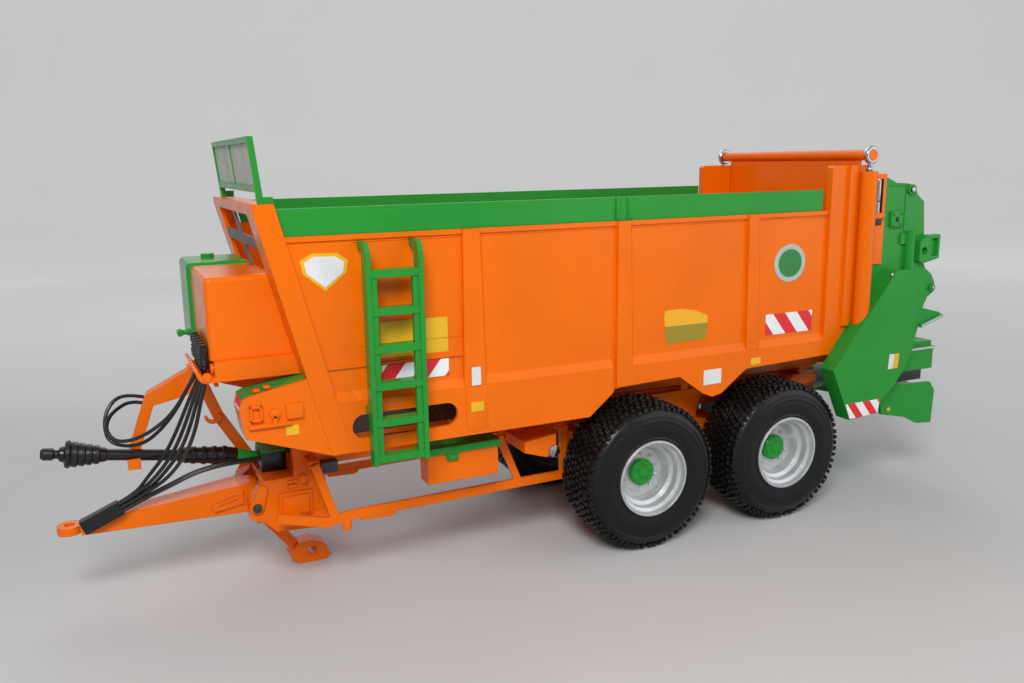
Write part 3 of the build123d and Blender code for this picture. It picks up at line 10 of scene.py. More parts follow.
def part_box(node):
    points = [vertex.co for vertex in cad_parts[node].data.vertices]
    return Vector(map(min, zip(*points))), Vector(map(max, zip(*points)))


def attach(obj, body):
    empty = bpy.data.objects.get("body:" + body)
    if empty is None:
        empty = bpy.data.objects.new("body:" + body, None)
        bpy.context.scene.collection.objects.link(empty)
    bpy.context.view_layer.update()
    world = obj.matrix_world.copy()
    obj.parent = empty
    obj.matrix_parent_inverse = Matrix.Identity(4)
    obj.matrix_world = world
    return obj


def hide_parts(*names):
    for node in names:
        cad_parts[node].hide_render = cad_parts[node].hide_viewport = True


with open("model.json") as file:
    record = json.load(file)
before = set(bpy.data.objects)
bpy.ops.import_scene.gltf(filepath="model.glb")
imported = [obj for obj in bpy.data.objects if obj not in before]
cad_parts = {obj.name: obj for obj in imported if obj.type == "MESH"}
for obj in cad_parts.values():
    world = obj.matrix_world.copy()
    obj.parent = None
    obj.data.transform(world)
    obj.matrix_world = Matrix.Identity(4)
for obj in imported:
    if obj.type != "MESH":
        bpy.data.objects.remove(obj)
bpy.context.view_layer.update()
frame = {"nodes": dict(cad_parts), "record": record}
NODES = frame["nodes"]
RECORD = frame["record"]
MM = 0.001

# The CAD nodes get their finishes, and small forms, films and hoses are added around them.
# Sizes are in millimetres. Stations along x are counted from the front axle, as the part's are;
# only AXLE_X, the place of that axle in the frame, is in metres.
TYRE_LOW, TYRE_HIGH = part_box("tyre_front_left")
AXLE_X = (TYRE_LOW.x + TYRE_HIGH.x) / 2
WHEELBASE = 57.0
TYRE_R = 25.3
TYRE_W = 20.3
WHEEL_FACE_Y = 43.5
RIM_DISC_DEPTH = 8.6     # of the rim's disc behind the wheel's face
PANEL_Y = 36.6           # outer face of the side panels between the ribs
RIB_Y = 38.0             # outer face of the ribs and the skirt
RIB_PLATE_Y = 38.2       # outer face of the low plate on the rib behind the ladder
UNIT_Y = 38.0            # outer face of the spreading unit
GUARD_Y = 44.5           # outer face of the rear guards
HEADSTOCK_Y = 14.95      # outer face of the headstock's cheeks
COUPLING_X = -136.22
COUPLING_FOOT_Z = 74.6   # where the hoses leave the couplings
HOSE_PITCH = 4.0
HOSE_FIRST_Y = -26.5
HOSE_R = 0.55


def at(x, y, z):
    """A point given in millimetres from the front axle, in the frame's metres."""
    return Vector((AXLE_X + x * MM, y * MM, z * MM))


def place(obj):
    """Link an object to the scene."""
    bpy.context.scene.collection.objects.link(obj)
    return obj


def coupling_y(i):
    """Side station of a hose coupling on the front shelf."""
    return HOSE_FIRST_Y + i * HOSE_PITCH


def oblong(across, up):
    """Corners of a rectangle from its limits along two axes."""
    return [(across[0], up[0]), (across[1], up[0]), (across[1], up[1]), (across[0], up[1])]


def arc(centre, radii, angles):
    """Points of an ellipse round a centre, at angles in degrees."""
    return [(centre[0] + radii[0] * math.cos(math.radians(a)),
             centre[1] + radii[1] * math.sin(math.radians(a))) for a in angles]


# ---------------------------------------------------------------- camera
VIEW_FROM = (-160.89, -275.37, 129.44)
VIEW_YAW, VIEW_PITCH, VIEW_ROLL = 25.26, 11.57, -0.84     # degrees
SENSOR_W, LENS = 36.0, 31.19
CLIP = (0.01, 20.0)      # metres


def make_camera():
    """Camera at the viewing angle of the photograph."""
    yaw, pitch, roll = (math.radians(a) for a in (VIEW_YAW, VIEW_PITCH, VIEW_ROLL))
    ahead = Vector((math.sin(yaw) * math.cos(pitch), math.cos(yaw) * math.cos(pitch),
                    -math.sin(pitch)))
    level = Vector((math.cos(yaw), -math.sin(yaw), 0))
    up = level.cross(ahead)
    right = math.cos(roll) * level + math.sin(roll) * up
    top = right.cross(ahead)
    data = bpy.data.cameras.new("camera")
    data.sensor_width = SENSOR_W
    data.lens = LENS
    data.clip_start, data.clip_end = CLIP
    camera = bpy.data.objects.new("camera", data)
    turn = Matrix((right, top, -ahead)).transposed().to_4x4()
    camera.matrix_world = Matrix.Translation(at(*VIEW_FROM)) @ turn
    bpy.context.scene.camera = place(camera)


# ---------------------------------------------------------------- materials
def math_node(tree, operation, *values):
    """Result of a new math node; each value is a number or the output of another node."""
    made = tree.nodes.new("ShaderNodeMath")
    made.operation = operation
    for socket, value in zip(made.inputs, values):
        if isinstance(value, float):
            socket.default_value = value
        else:
            tree.links.new(value, socket)
    return made.outputs[0]


def seen_by_eye(tree):
    """1 for rays of the camera, mirrors and clear pieces, and 0 for those that carry light."""
    rays = tree.nodes.new("ShaderNodeLightPath").outputs
    mirrored = math_node(tree, "MAXIMUM", rays["Is Camera Ray"], rays["Is Glossy Ray"])
    return math_node(tree, "MAXIMUM", mirrored, rays["Is Transmission Ray"])


class Shader:
    """A node material under construction, with short calls for the nodes it uses."""

    def __init__(self, name):
        self.material = bpy.data.materials.new(name)
        self.material.use_nodes = True
        self.tree = self.material.node_tree
        self.bsdf = self.tree.nodes["Principled BSDF"]
        self.coords = self.tree.nodes.new("ShaderNodeTexCoord").outputs["Object"]

    def node(self, kind, **inputs):
        """New node with plain values on its sockets."""
        made = self.tree.nodes.new(kind)
        for key, value in inputs.items():
            made.inputs[key.replace("_", " ")].default_value = value
        return made

    def link(self, source, target):
        self.tree.links.new(source, target)

    def axes(self):
        """X, Y and Z of the object's own coordinates."""
        made = self.node("ShaderNodeSeparateXYZ")
        self.link(self.coords, made.inputs["Vector"])
        return made.outputs

    def noise(self, scale, detail=2.0):
        """Noise in the object's own coordinates, from 0 to 1."""
        made = self.node("ShaderNodeTexNoise", Scale=scale, Detail=detail)
        self.link(self.coords, made.inputs["Vector"])
        return made.outputs["Fac"]

    def ramp(self, source, stops):
        """Colour ramp over a source, from stops of (position, colour)."""
        made = self.node("ShaderNodeValToRGB")
        elements = made.color_ramp.elements
        while len(elements) < len(stops):
            elements.new(0.5)
        for element, (position, colour) in zip(elements, stops):
            element.position = position
            element.color = (*colour, 1.0)
        self.link(source, made.inputs["Fac"])
        return made.outputs["Color"]

    def spread(self, source, low, high, to_low, to_high):
        """Map a range of a source onto another range."""
        made = self.node("ShaderNodeMapRange", From_Min=low, From_Max=high, To_Min=to_low,
                         To_Max=to_high)
        self.link(source, made.inputs["Value"])
        return made.outputs["Result"]

    def bump(self, source, strength, distance, normal):
        """Normal roughened by a source, on top of another normal."""
        made = self.node("ShaderNodeBump", Strength=strength, Distance=distance)
        self.link(source, made.inputs["Height"])
        self.link(normal, made.inputs["Normal"])
        return made.outputs["Normal"]

    def rounded(self, radius):
        """Normal that softens the edges of a mesh."""
        made = self.node("ShaderNodeBevel", Radius=radius)
        made.samples = 4
        return made.outputs["Normal"]

    def set(self, **values):
        """Plain values for the surface's sockets."""
        for key, value in values.items():
            self.bsdf.inputs[key.replace("_", " ")].default_value = value

    def feed(self, **sources):
        """Nodes for the surface's sockets; gives the finished material."""
        for key, source in sources.items():
            self.link(source, self.bsdf.inputs[key.replace("_", " ")])
        return self.material


def paint(name, colour):
    """Gloss paint on a casting: faintly uneven tone, orange peel and softened edges."""
    rough, edge = 0.24, 0.00028
    tone_scale, gloss_scale, peel_scale = 38.0, 170.0, 800.0
    s = Shader(name)
    deep = tuple(c * 0.93 for c in colour)
    tone = s.ramp(s.noise(tone_scale, 3.0), [(0.35, deep), (0.6, colour)])
    gloss = s.spread(s.noise(gloss_scale, 4.0), 0.35, 0.7, rough * 0.85, rough * 1.3)
    skin = s.bump(s.noise(peel_scale), 0.05, 0.0001, s.rounded(edge))
    s.set(Specular_IOR_Level=0.17, Coat_Weight=0.06, Coat_Roughness=0.06)
    return s.feed(Base_Color=tone, Roughness=gloss, Normal=skin)


def moulded(name, colour, rough, metallic=0.0, grain=400.0, depth=0.05, specular=0.5):
    """Moulded or plated surface with a fine grain and softened edges."""
    s = Shader(name)
    dark = tuple(c * 0.84 for c in colour)
    tone = s.ramp(s.noise(grain * 0.3, 3.0), [(0.3, dark), (0.7, colour)])
    gloss = s.spread(s.noise(grain, 3.0), 0.3, 0.7, rough * 0.8, min(1.0, rough * 1.3))
    skin = s.bump(s.noise(grain * 2), depth, 0.0001, s.rounded(0.0002))
    s.set(Metallic=metallic, Specular_IOR_Level=specular)
    return s.feed(Base_Color=tone, Roughness=gloss, Normal=skin)


def printed(s, tone):
    """Finish a film's shader with its tone and the slightly uneven gloss of print."""
    gloss = s.spread(s.noise(300.0), 0.3, 0.7, 0.3, 0.45)
    return s.feed(Base_Color=tone, Roughness=gloss)


def striped(name, lean, pitch):
    """Red and white hazard stripes at a pitch in millimetres; lean is the slope they slant with."""
    white, red, blur = (0.84, 0.85, 0.86), (0.72, 0.012, 0.02), 0.015
    s = Shader(name)
    axes = s.axes()
    slant = math_node(s.tree, "MULTIPLY_ADD", axes["Z"], lean, axes["X"])
    wave = math_node(s.tree, "FRACT", math_node(s.tree, "MULTIPLY", slant, 1.0 / (pitch * MM)))
    tone = s.ramp(wave, [(0.0, white), (0.5 - blur, white), (0.5, red), (1.0 - blur, red),
                         (1.0, white)])
    return printed(s, tone)


def two_tone(name, upper, lower, level):
    """Printed film in two colours that meet at a level in millimetres."""
    s = Shader(name)
    height = s.spread(s.axes()["Z"], (level - 1.0) * MM, (level + 1.0) * MM, 0.0, 1.0)
    return printed(s, s.ramp(height, [(0.46, lower), (0.54, upper)]))


def make_materials():
    """One finish for each of the record's material slots, and the printed films."""
    slope, wide, narrow = 0.8, 10.8, 7.4     # hazard stripes on the sides, and on the guards
    return {
        "orange_paint": paint("orange_paint", (0.89, 0.160, 0.001)),
        "green_paint": paint("green_paint", (0.021, 0.285, 0.034)),
        "silver_paint": moulded("silver_paint", (0.62, 0.63, 0.64), 0.34, metallic=0.6,
                                grain=900.0),
        "tyre_rubber": moulded("tyre_rubber", (0.0035, 0.0035, 0.0035), 0.3, grain=700.0,
                               depth=0.12, specular=0.3),
        "chrome": moulded("chrome", (0.42, 0.42, 0.44), 0.14, metallic=1.0),
        "black_plastic": moulded("black_plastic", (0.008, 0.008, 0.008), 0.26, specular=0.4),
        "hose_rubber": moulded("hose_rubber", (0.009, 0.009, 0.01), 0.2, grain=900.0),
        "grey_bars": moulded("grey_bars", (0.16, 0.16, 0.165), 0.5),
        "mesh_pane": moulded("mesh_pane", (0.58, 0.61, 0.56), 0.6),
        "chain_steel": moulded("chain_steel", (0.03, 0.03, 0.03), 0.5),
        "hazard_fore": striped("hazard_fore", -slope, wide),
        "hazard_aft": striped("hazard_aft", slope, wide),
        "hazard_guard": striped("hazard_guard", slope, narrow),
        "yellow_film": moulded("yellow_film", (0.86, 0.50, 0.01), 0.4),
        "white_film": moulded("white_film", (0.80, 0.81, 0.82), 0.4),
        "pale_film": moulded("pale_film", (0.46, 0.56, 0.52), 0.4),
        "green_film": moulded("green_film", (0.02, 0.22, 0.04), 0.4),
        "olive_film": two_tone("olive_film", (0.85, 0.42, 0.01), (0.30, 0.24, 0.01), 74.6),
        "grey_block": moulded("grey_block", (0.045, 0.055, 0.06), 0.4),
    }


make_camera()
MATERIALS = make_materials()


# ---------------------------------------------------------------- hoses
HOSE_LENGTHS = (58.6, 56.5, 53.2, 51.8, 41.8, 41.8, 56.9, 62.5)
HOSE_LEAD_Z = 71.0                  # the hoses hang straight down from the couplings to here
SLEEVE_ENTRY = (-160.0, 30.4)       # x and z where the lowest hoses enter the sleeve
SLEEVE_FALL = math.radians(24.0)
SLEEVE_FIRST_Y = -3.724             # hose next to the drawbar
SLEEVE_STEP = 1.2                   # from hose to hose in the sleeve
SLEEVE_LEAD = -7.6                  # the upper hoses straighten this far ahead of the entry
LOW_LEAD = -6.4                     # and the lower ones this far
BEARING_HOSE_Y = (-4.5, -6.0)       # far ends of the lower hoses
BEARING_HOSE_Z = 40.2
ARM_FOOT = (-151.6, 5.3, 58.2)      # lower end of the front edge of the bracket's arm
ARM_LEAN = (1.4, 4.2)               # run of that edge along x and z
ARM_HOSES = (1.3, 3.1)              # how far up the edge the two hoses end
ARM_LEAD = 3.6                      # straight run of a hose to the arm
LOOPS = (
    ((-139.3, -10.3, 67.0), (-143.5, -9.6, 60.0), (-148.5, -8.2, 55.2), (-154.5, -6.8, 51.9),
     (-159.9, -5.2, 51.4), (-162.3, -2.8, 54.4), (-161.4, 0.0, 57.4), (-158.7, 3.2, 59.2)),
    ((-139.0, -6.5, 66.0), (-143.2, -6.5, 58.8), (-148.0, -6.0, 53.3), (-152.6, -4.6, 49.7),
     (-157.8, -2.2, 48.9), (-161.8, -0.4, 50.6), (-162.6, 1.0, 54.6), (-161.6, 2.6, 59.2),
     (-158.4, 4.4, 62.4)),
)


def sleeve_point(along, up):
    """Point (x, z) in the sleeve: along it from its entry, and up across it."""
    run, fall = math.cos(SLEEVE_FALL), math.sin(SLEEVE_FALL)
    return (SLEEVE_ENTRY[0] - along * run - up * fall, SLEEVE_ENTRY[1] - along * fall + up * run)


def sleeve_y(column):
    """Hose at the sleeve's entry, next to the drawbar or outside its neighbour."""
    return SLEEVE_FIRST_Y - column * SLEEVE_STEP


def comb_to_sleeve(i):
    """Route from a coupling through the comb to the sleeve on the drawbar."""
    y, row = coupling_y(i), i // 2
    up = (1 + row) * SLEEVE_STEP
    end_y = sleeve_y((i + 1) % 2)
    end, lead = sleeve_point(0, up), sleeve_point(2.2 * row + SLEEVE_LEAD, up)
    # columns: distance ahead of the coupling, share of the way across to the sleeve, z
    steps = [(0.0, 0.0, COUPLING_FOOT_Z), (0.0, 0.0, HOSE_LEAD_Z), (1.7 + 0.4 * i, 0.03, 65.5),
             (3.5 + 1.3 * i, 0.19, 56.4 - 0.5 * i), (6.2 + 1.7 * i, 0.53, 47.4 - 0.3 * i),
             (11.0 + 1.9 * i, 0.87, 39.1)]
    falling = [(COUPLING_X - ahead, y + share * (end_y - y), z) for ahead, share, z in steps]
    return falling + [(lead[0], end_y, lead[1]), (end[0], end_y, end[1])]


def sleeve_to_bearing(i):
    """Route of a lower hose, from the sleeve over the drawbar to the bearing housing."""
    y, start_y = BEARING_HOSE_Y[i], sleeve_y(i)
    start, lead = sleeve_point(0, 0), sleeve_point(LOW_LEAD, 0)
    # columns: x, distance below the hose's end
    steps = ((-146.4, 4.1), (-139.6, 1.3), (-131.5, 0.1), (-124.8, 0.0), (-120.0, 0.0))
    rising = [(x, y, BEARING_HOSE_Z - below) for x, below in steps]
    return [(start[0], start_y, start[1]), (lead[0], start_y, lead[1])] + rising


def arm_point(up, out):
    """Point up along the front edge of the bracket's arm, and out from it at a right angle."""
    x, y, z = ARM_FOOT
    length = math.hypot(*ARM_LEAN)
    dx, dz = (run / length for run in ARM_LEAN)
    return (x + up * dx - out * dz, y, z + up * dz + out * dx)


def comb_to_arm(i):
    """Route of a hose that hangs in a wide loop from the comb to the bracket's arm."""
    y = coupling_y(4 + i)
    lead = [(COUPLING_X, y, COUPLING_FOOT_Z), (COUPLING_X, y, HOSE_LEAD_Z)]
    end = [arm_point(ARM_HOSES[i], ARM_LEAD), arm_point(ARM_HOSES[i], 0)]
    return lead + list(LOOPS[i]) + end


def make_hose(number, route):
    """Glossy rubber hose along one smooth line through its route."""
    data = bpy.data.curves.new(f"rubber_hose_{number}", "CURVE")
    data.dimensions = "3D"
    data.bevel_depth = HOSE_R * MM
    data.bevel_resolution = 5
    data.resolution_u = 16
    data.use_fill_caps = True
    line = data.splines.new("NURBS")
    line.points.add(len(route) - 1)
    for point, spot in zip(line.points, route):
        point.co = (*at(*spot), 1.0)
    line.order_u = 3
    line.use_endpoint_u = True
    data.materials.append(MATERIALS["hose_rubber"])
    hose = place(bpy.data.objects.new(f"rubber_hose_{number}", data))
    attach(hose, "root")
    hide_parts(f"hose_{number}")


def make_hoses():
    """Four hoses to the sleeve, two on from it, and two in a loop."""
    routes = [comb_to_sleeve(i) for i in range(4)] + [sleeve_to_bearing(i) for i in range(2)]
    routes += [comb_to_arm(i) for i in range(2)]
    for number, (route, length) in enumerate(zip(routes, HOSE_LENGTHS), start=1):
        make_hose(number, route)


make_hoses()


# ---------------------------------------------------------------- solid forms
BEVEL_STEPS, BEVEL_FULLNESS = 2, 0.6
MOST_CORNERS = 8         # a loop of more points is round, and only its two rims are bevelled
SHARP_ANGLE = math.radians(38)


class Piece:
    """Solid forms in millimetres from the front axle, gathered and made into one object."""

    def __init__(self, name, finish, slot=None, body="root", mirrored=False):
        self.name, self.finish, self.slot, self.body = name, finish, slot or finish, body
        self.mirrored = mirrored
        self.mesh = bmesh.new()

    def prism(self, loop, axis, low, high, round_off=0.0, taper=1.0):
        """Extrude a loop along an axis; its points hold the other two coordinates, in order."""
        index = "xyz".index(axis)
        centre = [sum(p[k] for p in loop) / len(loop) for k in (0, 1)]
        rings = []
        for level, scale in ((low, 1.0), (high, taper)):
            ring = []
            for p in loop:
                spot = [centre[k] + (p[k] - centre[k]) * scale for k in (0, 1)]
                spot.insert(index, level)
                ring.append(self.mesh.verts.new(at(*spot)))
            rings.append(ring)
        count = len(loop)
        faces = [self.mesh.faces.new(rings[0]), self.mesh.faces.new(rings[1])]
        for i in range(count):
            j = (i + 1) % count
            side = (rings[0][i], rings[0][j], rings[1][j], rings[1][i])
            faces.append(self.mesh.faces.new(side))
        if round_off:
            edges = set(faces[0].edges) | set(faces[1].edges)
            if count <= MOST_CORNERS:
                edges |= {edge for face in faces for edge in face.edges}
            bmesh.ops.bevel(self.mesh, geom=list(edges), offset=round_off * MM, affect="EDGES",
                            segments=BEVEL_STEPS, profile=BEVEL_FULLNESS, clamp_overlap=True)

    def box(self, x, y, z, round_off=0.15):
        """Box between its limits along each axis."""
        self.prism(oblong(x, y), "z", z[0], z[1], round_off)

    def rod(self, axis, centre, r, low, high, sides=24, round_off=0.12, turn=0.0, taper=1.0):
        """Round or many-sided bar along an axis, about a centre in the other two coordinates."""
        angles = [turn + 2 * math.pi * i / sides for i in range(sides)]
        loop = [(centre[0] + r * math.cos(a), centre[1] + r * math.sin(a)) for a in angles]
        self.prism(loop, axis, low, high, round_off, taper)

    def ring(self, axis, centre, r, wire, level, sides=32):
        """Round bead of a wire radius about an axis."""
        index = "xyz".index(axis)
        around = 8
        rows = []
        for i in range(sides):
            a = 2 * math.pi * i / sides
            row = []
            for k in range(around):
                b = 2 * math.pi * k / around
                reach = r + wire * math.cos(b)
                spot = [centre[0] + reach * math.cos(a), centre[1] + reach * math.sin(a)]
                spot.insert(index, level + wire * math.sin(b))
                row.append(self.mesh.verts.new(at(*spot)))
            rows.append(row)
        self.skin(rows)

    def skin(self, rows):
        """Faces between closed rows of points, and from the last row back to the first."""
        for a, b in zip(rows, rows[1:] + rows[:1]):
            for k in range(len(a)):
                m = (k + 1) % len(a)
                self.mesh.faces.new((a[k], b[k], b[m], a[m]))

    def make(self, *stands_for):
        """Make the object on its body, in place of the CAD nodes that are named."""
        if self.mirrored:
            whole = self.mesh.verts[:] + self.mesh.edges[:] + self.mesh.faces[:]
            copy = bmesh.ops.duplicate(self.mesh, geom=whole)
            for v in copy["geom"]:
                if isinstance(v, bmesh.types.BMVert):
                    v.co.y = -v.co.y
        bmesh.ops.recalc_face_normals(self.mesh, faces=self.mesh.faces[:])
        data = bpy.data.meshes.new(self.name)
        self.mesh.to_mesh(data)
        self.mesh.free()
        for face in data.polygons:
            face.use_smooth = True
        data.set_sharp_from_angle(angle=SHARP_ANGLE)
        data.materials.append(MATERIALS[self.finish])
        piece = place(bpy.data.objects.new(self.name, data))
        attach(piece, self.body)
        if stands_for:
            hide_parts(*stands_for)


# ---------------------------------------------------------------- wheels
# The tyre's section from its bead to its crown: radius, and depth behind the wheel's face.
TYRE_SECTION = [
    (13.0, 0.9), (13.25, 0.5), (13.7, 0.42), (14.1, 0.66), (16.0, 0.3), (18.6, 0.03), (19.0, 0.16),
    (19.4, 0.02), (20.0, 0.05), (20.3, 0.22), (20.6, 0.12), (20.9, 0.3), (21.2, 0.2), (22.0, 0.5),
    (23.0, 1.1), (23.7, 2.0), (24.1, 3.2), (24.25, 4.6), (24.3, 7.0)]
SHOULDER = 12            # the point of the section where the crown begins
BEAD_R, BEAD_DEPTH = 12.98, 2.4
TYRE_STEPS = 96
TREAD_LANES, TREAD_BLOCKS = 9, 66
TREAD_EDGE = 1.55        # the outermost lanes, in from the tyre's faces
TREAD_SUNK = 0.25        # blocks start this far under the crown
# Limits of the uneven tread: rise and width in millimetres, span and shifts along a lane in
# shares of the pitch, shift across a lane in millimetres, and skew in shares of the span.
BLOCK_RISE, BLOCK_W, BLOCK_SPAN = (1.0, 1.3), (1.1, 1.6), (0.5, 0.74)
LANE_SHIFT, BLOCK_SHIFT, BLOCK_STRAY, BLOCK_SKEW = 0.1, 0.12, 0.22, 0.22
TREAD_SPARE = 0.02       # the blocks end this far inside the tyre's radius
NUTS, NUT_CIRCLE_R = 10, 6.3
NUT_R, NUT_RISE = 0.52, 0.62
BOLT_R, BOLT_RISE = 0.24, 0.9
DISH_BEADS = ((11.3, 0.13, 3.0), (12.35, 0.12, 0.2))     # radius, wire, depth behind the face
FACETS, FACET_CIRCLE_R, FACET_R, FACET_RISE = 6, 3.1, 0.95, 0.25
CAP_RISE = 2.0           # of the hub cap's end before the rim's disc
CAP_BOSS_R, CAP_BOSS_RISE = 2.0, 0.45


def wheel_point(x, side, r, depth, angle):
    """Point of a wheel: radius, depth behind its outer plane, angle about the axle."""
    return at(x + r * math.cos(angle), side * (WHEEL_FACE_Y - depth), TYRE_R + r * math.sin(angle))


def tread_block(mesh, x, side, angle, depth, span, width, base, height, skew):
    """Small tread block with a chamfered top; span in radians around the tyre, width across it."""
    rings = []
    for scale, r in ((1.0, base), (1.0, base + height * 0.72), (0.78, base + height)):
        ring = []
        for u, v in ((-1, -1), (1, -1), (1, 1), (-1, 1)):
            a = angle + u * scale * span / 2 + v * scale * skew * span
            spot = wheel_point(x, side, r, depth + v * scale * width / 2, a)
            ring.append(mesh.verts.new(spot))
        rings.append(ring)
    mesh.faces.new(rings[2])
    for low, high in zip(rings, rings[1:]):
        for k in range(4):
            m = (k + 1) % 4
            mesh.faces.new((low[k], low[m], high[m], high[k]))


def crown_radius(depth):
    """Radius of the carcass under the tread at a depth."""
    depth = min(depth, TYRE_W - depth)
    points = [(d, r) for r, d in TYRE_SECTION[SHOULDER:]]
    for (d0, r0), (d1, r1) in zip(points, points[1:]):
        if depth <= d1:
            return r0 + (r1 - r0) * max(0.0, (depth - d0) / (d1 - d0))
    return points[-1][1]


def make_tyre(end, hand, x, side, rng):
    """Moulded tyre: ringed side walls, and a crown set closely with small uneven blocks."""
    piece = Piece(f"ballon_tyre_{end}_{hand}", "tyre_rubber", body=f"wheel_{end}_{hand}")
    section = TYRE_SECTION + [(r, TYRE_W - d) for r, d in reversed(TYRE_SECTION)]
    section += [(BEAD_R, TYRE_W - BEAD_DEPTH), (BEAD_R, BEAD_DEPTH)]
    turns = [2 * math.pi * i / TYRE_STEPS for i in range(TYRE_STEPS)]
    piece.skin([[piece.mesh.verts.new(wheel_point(x, side, r, d, a)) for r, d in section]
                for a in turns])
    pitch = 2 * math.pi / TREAD_BLOCKS
    for lane in range(TREAD_LANES):
        depth = TREAD_EDGE + lane * (TYRE_W - 2 * TREAD_EDGE) / (TREAD_LANES - 1)
        shift = (lane % 2) * 0.5 + rng.uniform(-LANE_SHIFT, LANE_SHIFT)
        for i in range(TREAD_BLOCKS):
            where = depth + rng.uniform(-BLOCK_STRAY, BLOCK_STRAY)
            base = crown_radius(where) - TREAD_SUNK
            top = min(TYRE_R - TREAD_SPARE, base + rng.uniform(*BLOCK_RISE))
            angle = (i + shift + rng.uniform(-BLOCK_SHIFT, BLOCK_SHIFT)) * pitch
            span = pitch * rng.uniform(*BLOCK_SPAN)
            width = rng.uniform(*BLOCK_W)
            skew = rng.uniform(-BLOCK_SKEW, BLOCK_SKEW)
            tread_block(piece.mesh, x, side, angle, where, span, width, base, top - base, skew)
    piece.make(f"tyre_{end}_{hand}")


def make_wheel_trim(end, hand, x, side):
    """Wheel nuts on the disc, ribs on the dish and the moulded facets of the hub cap."""
    body = f"wheel_{end}_{hand}"
    nuts = Piece(f"wheel_nuts_{end}_{hand}", "silver_paint", body=body)
    disc = side * (WHEEL_FACE_Y - RIM_DISC_DEPTH)
    for i in range(NUTS):
        a = 2 * math.pi * (i + 0.5) / NUTS
        centre = (x + NUT_CIRCLE_R * math.cos(a), TYRE_R + NUT_CIRCLE_R * math.sin(a))
        nuts.rod("y", centre, NUT_R, disc - side * 0.1, disc + side * NUT_RISE, 6, 0.08, turn=a)
        nuts.rod("y", centre, BOLT_R, disc, disc + side * BOLT_RISE, 10, 0.05)
    for r, wire, depth in DISH_BEADS:
        nuts.ring("y", (x, TYRE_R), r, wire, side * (WHEEL_FACE_Y - depth), sides=64)
    nuts.make()
    cap = Piece(f"hub_facets_{end}_{hand}", "green_paint", body=body)
    face = side * (WHEEL_FACE_Y - RIM_DISC_DEPTH + CAP_RISE)
    for i in range(FACETS):
        a = 2 * math.pi * i / FACETS + 0.3
        centre = (x + FACET_CIRCLE_R * math.cos(a), TYRE_R + FACET_CIRCLE_R * math.sin(a))
        cap.rod("y", centre, FACET_R, face - side * 0.3, face + side * FACET_RISE, 8, turn=a)
    cap.rod("y", (x, TYRE_R), CAP_BOSS_R, face - side * 0.2, face + side * CAP_BOSS_RISE, 8, 0.2,
            taper=0.86)
    cap.make()


def make_wheels():
    """Tyres and wheel trim on both axles."""
    for number, (end, x) in enumerate((("front", 0.0), ("rear", WHEELBASE))):
        for hand, side in (("left", -1), ("right", 1)):
            make_tyre(end, hand, x, side, random.Random(7 + number * 2 + (side > 0)))
            make_wheel_trim(end, hand, x, side)


# ---------------------------------------------------------------- films and plates
FILM_RISE, FILM_SUNK = 0.12, 0.02


def film(name, finish, loop, y):
    """Thin printed film on both sides, its outline given in x and z, on a face at y."""
    piece = Piece(name, finish, slot="orange_paint", mirrored=True)
    piece.prism(loop, "y", -y + FILM_SUNK, -y - FILM_RISE)
    piece.make()


def make_films():
    """Hazard stripes and blank films on the sides."""
    # columns: name, finish, limits along x and z, face under the film
    for name, finish, x, z, y in (
            ("hazard_film_fore", "hazard_fore", (-89.5, -69.0), (67.4, 72.6), PANEL_Y + 0.12),
            ("hazard_film_aft", "hazard_aft", (50.2, 71.4), (67.6, 75.0), PANEL_Y),
            ("yellow_plate_fore", "yellow_film", (-89.5, -69.0), (74.6, 85.0), PANEL_Y),
            ("white_film_rib", "white_film", (-62.4, -59.4), (63.6, 69.2), RIB_PLATE_Y + 0.02),
            ("white_film_skirt", "white_film", (23.0, 30.4), (53.2, 58.4), RIB_Y),
            ("yellow_film_rib", "yellow_film", (-62.8, -58.6), (55.5, 58.5), RIB_PLATE_Y + 0.02),
            ("yellow_film_arch", "yellow_film", (43.2, 47.4), (58.0, 60.4), RIB_Y),
            ("yellow_film_cheek", "yellow_film", (-117.6, -114.0), (56.2, 58.9), RIB_Y - 0.2)):
        film(name, finish, oblong(x, z), y)

    arched = [(7.6, 80.0), (7.2, 77.6), (8.6, 68.8), (24.4, 69.2), (25.0, 77.0), (20.0, 79.2),
              (14.0, 80.2)]
    film("two_tone_film", "olive_film", arched, PANEL_Y)

    disc, turn = (60.0, 92.6), range(0, 360, 12)
    shield_x, shield_z = -104.2, 100.6
    shield = [(-110.8, 103.6), (-107.6, 105.5), (-100.6, 105.3), (-97.6, 103.2), (-98.2, 99.8),
              (-104.2, 95.0), (-110.2, 100.0)]
    field = [(shield_x + (x - shield_x) * 0.84, shield_z + (z - shield_z) * 0.82)
             for x, z in shield]
    film("round_film_white", "pale_film", arc(disc, (7.0, 6.6), turn), PANEL_Y)
    film("shield_film_yellow", "yellow_film", shield, PANEL_Y)
    film("shield_film_white", "white_film", field, PANEL_Y + 0.1)
    film("round_film_green", "green_film", arc(disc, (5.2, 4.9), turn), PANEL_Y + 0.1)


# ---------------------------------------------------------------- front trim
CHEEK_FRAMES = (                # limits along x and z of the bars and plates cast on the cheek
    ((-127.0, -123.6), (65.1, 65.8)), ((-127.0, -123.6), (61.4, 62.1)),
    ((-127.0, -126.3), (61.4, 65.8)), ((-124.3, -123.6), (61.4, 65.8)),
    ((-127.6, -116.2), (59.4, 60.3)), ((-117.3, -112.7), (61.1, 65.3)),
    ((-121.0, -119.8), (60.0, 62.8)))
CHEEK_LENS = (-120.4, 63.0)     # x and z of the round boss on the cheek
CHEEK_RISE = 0.95
DRAWBAR_PIN = (-123.6, 28.3)    # x and z
LINK_TOP = (-121.5, 33.6)
PLATE_FACE_Y = 15.7             # outer face of the headstock's bolted plate


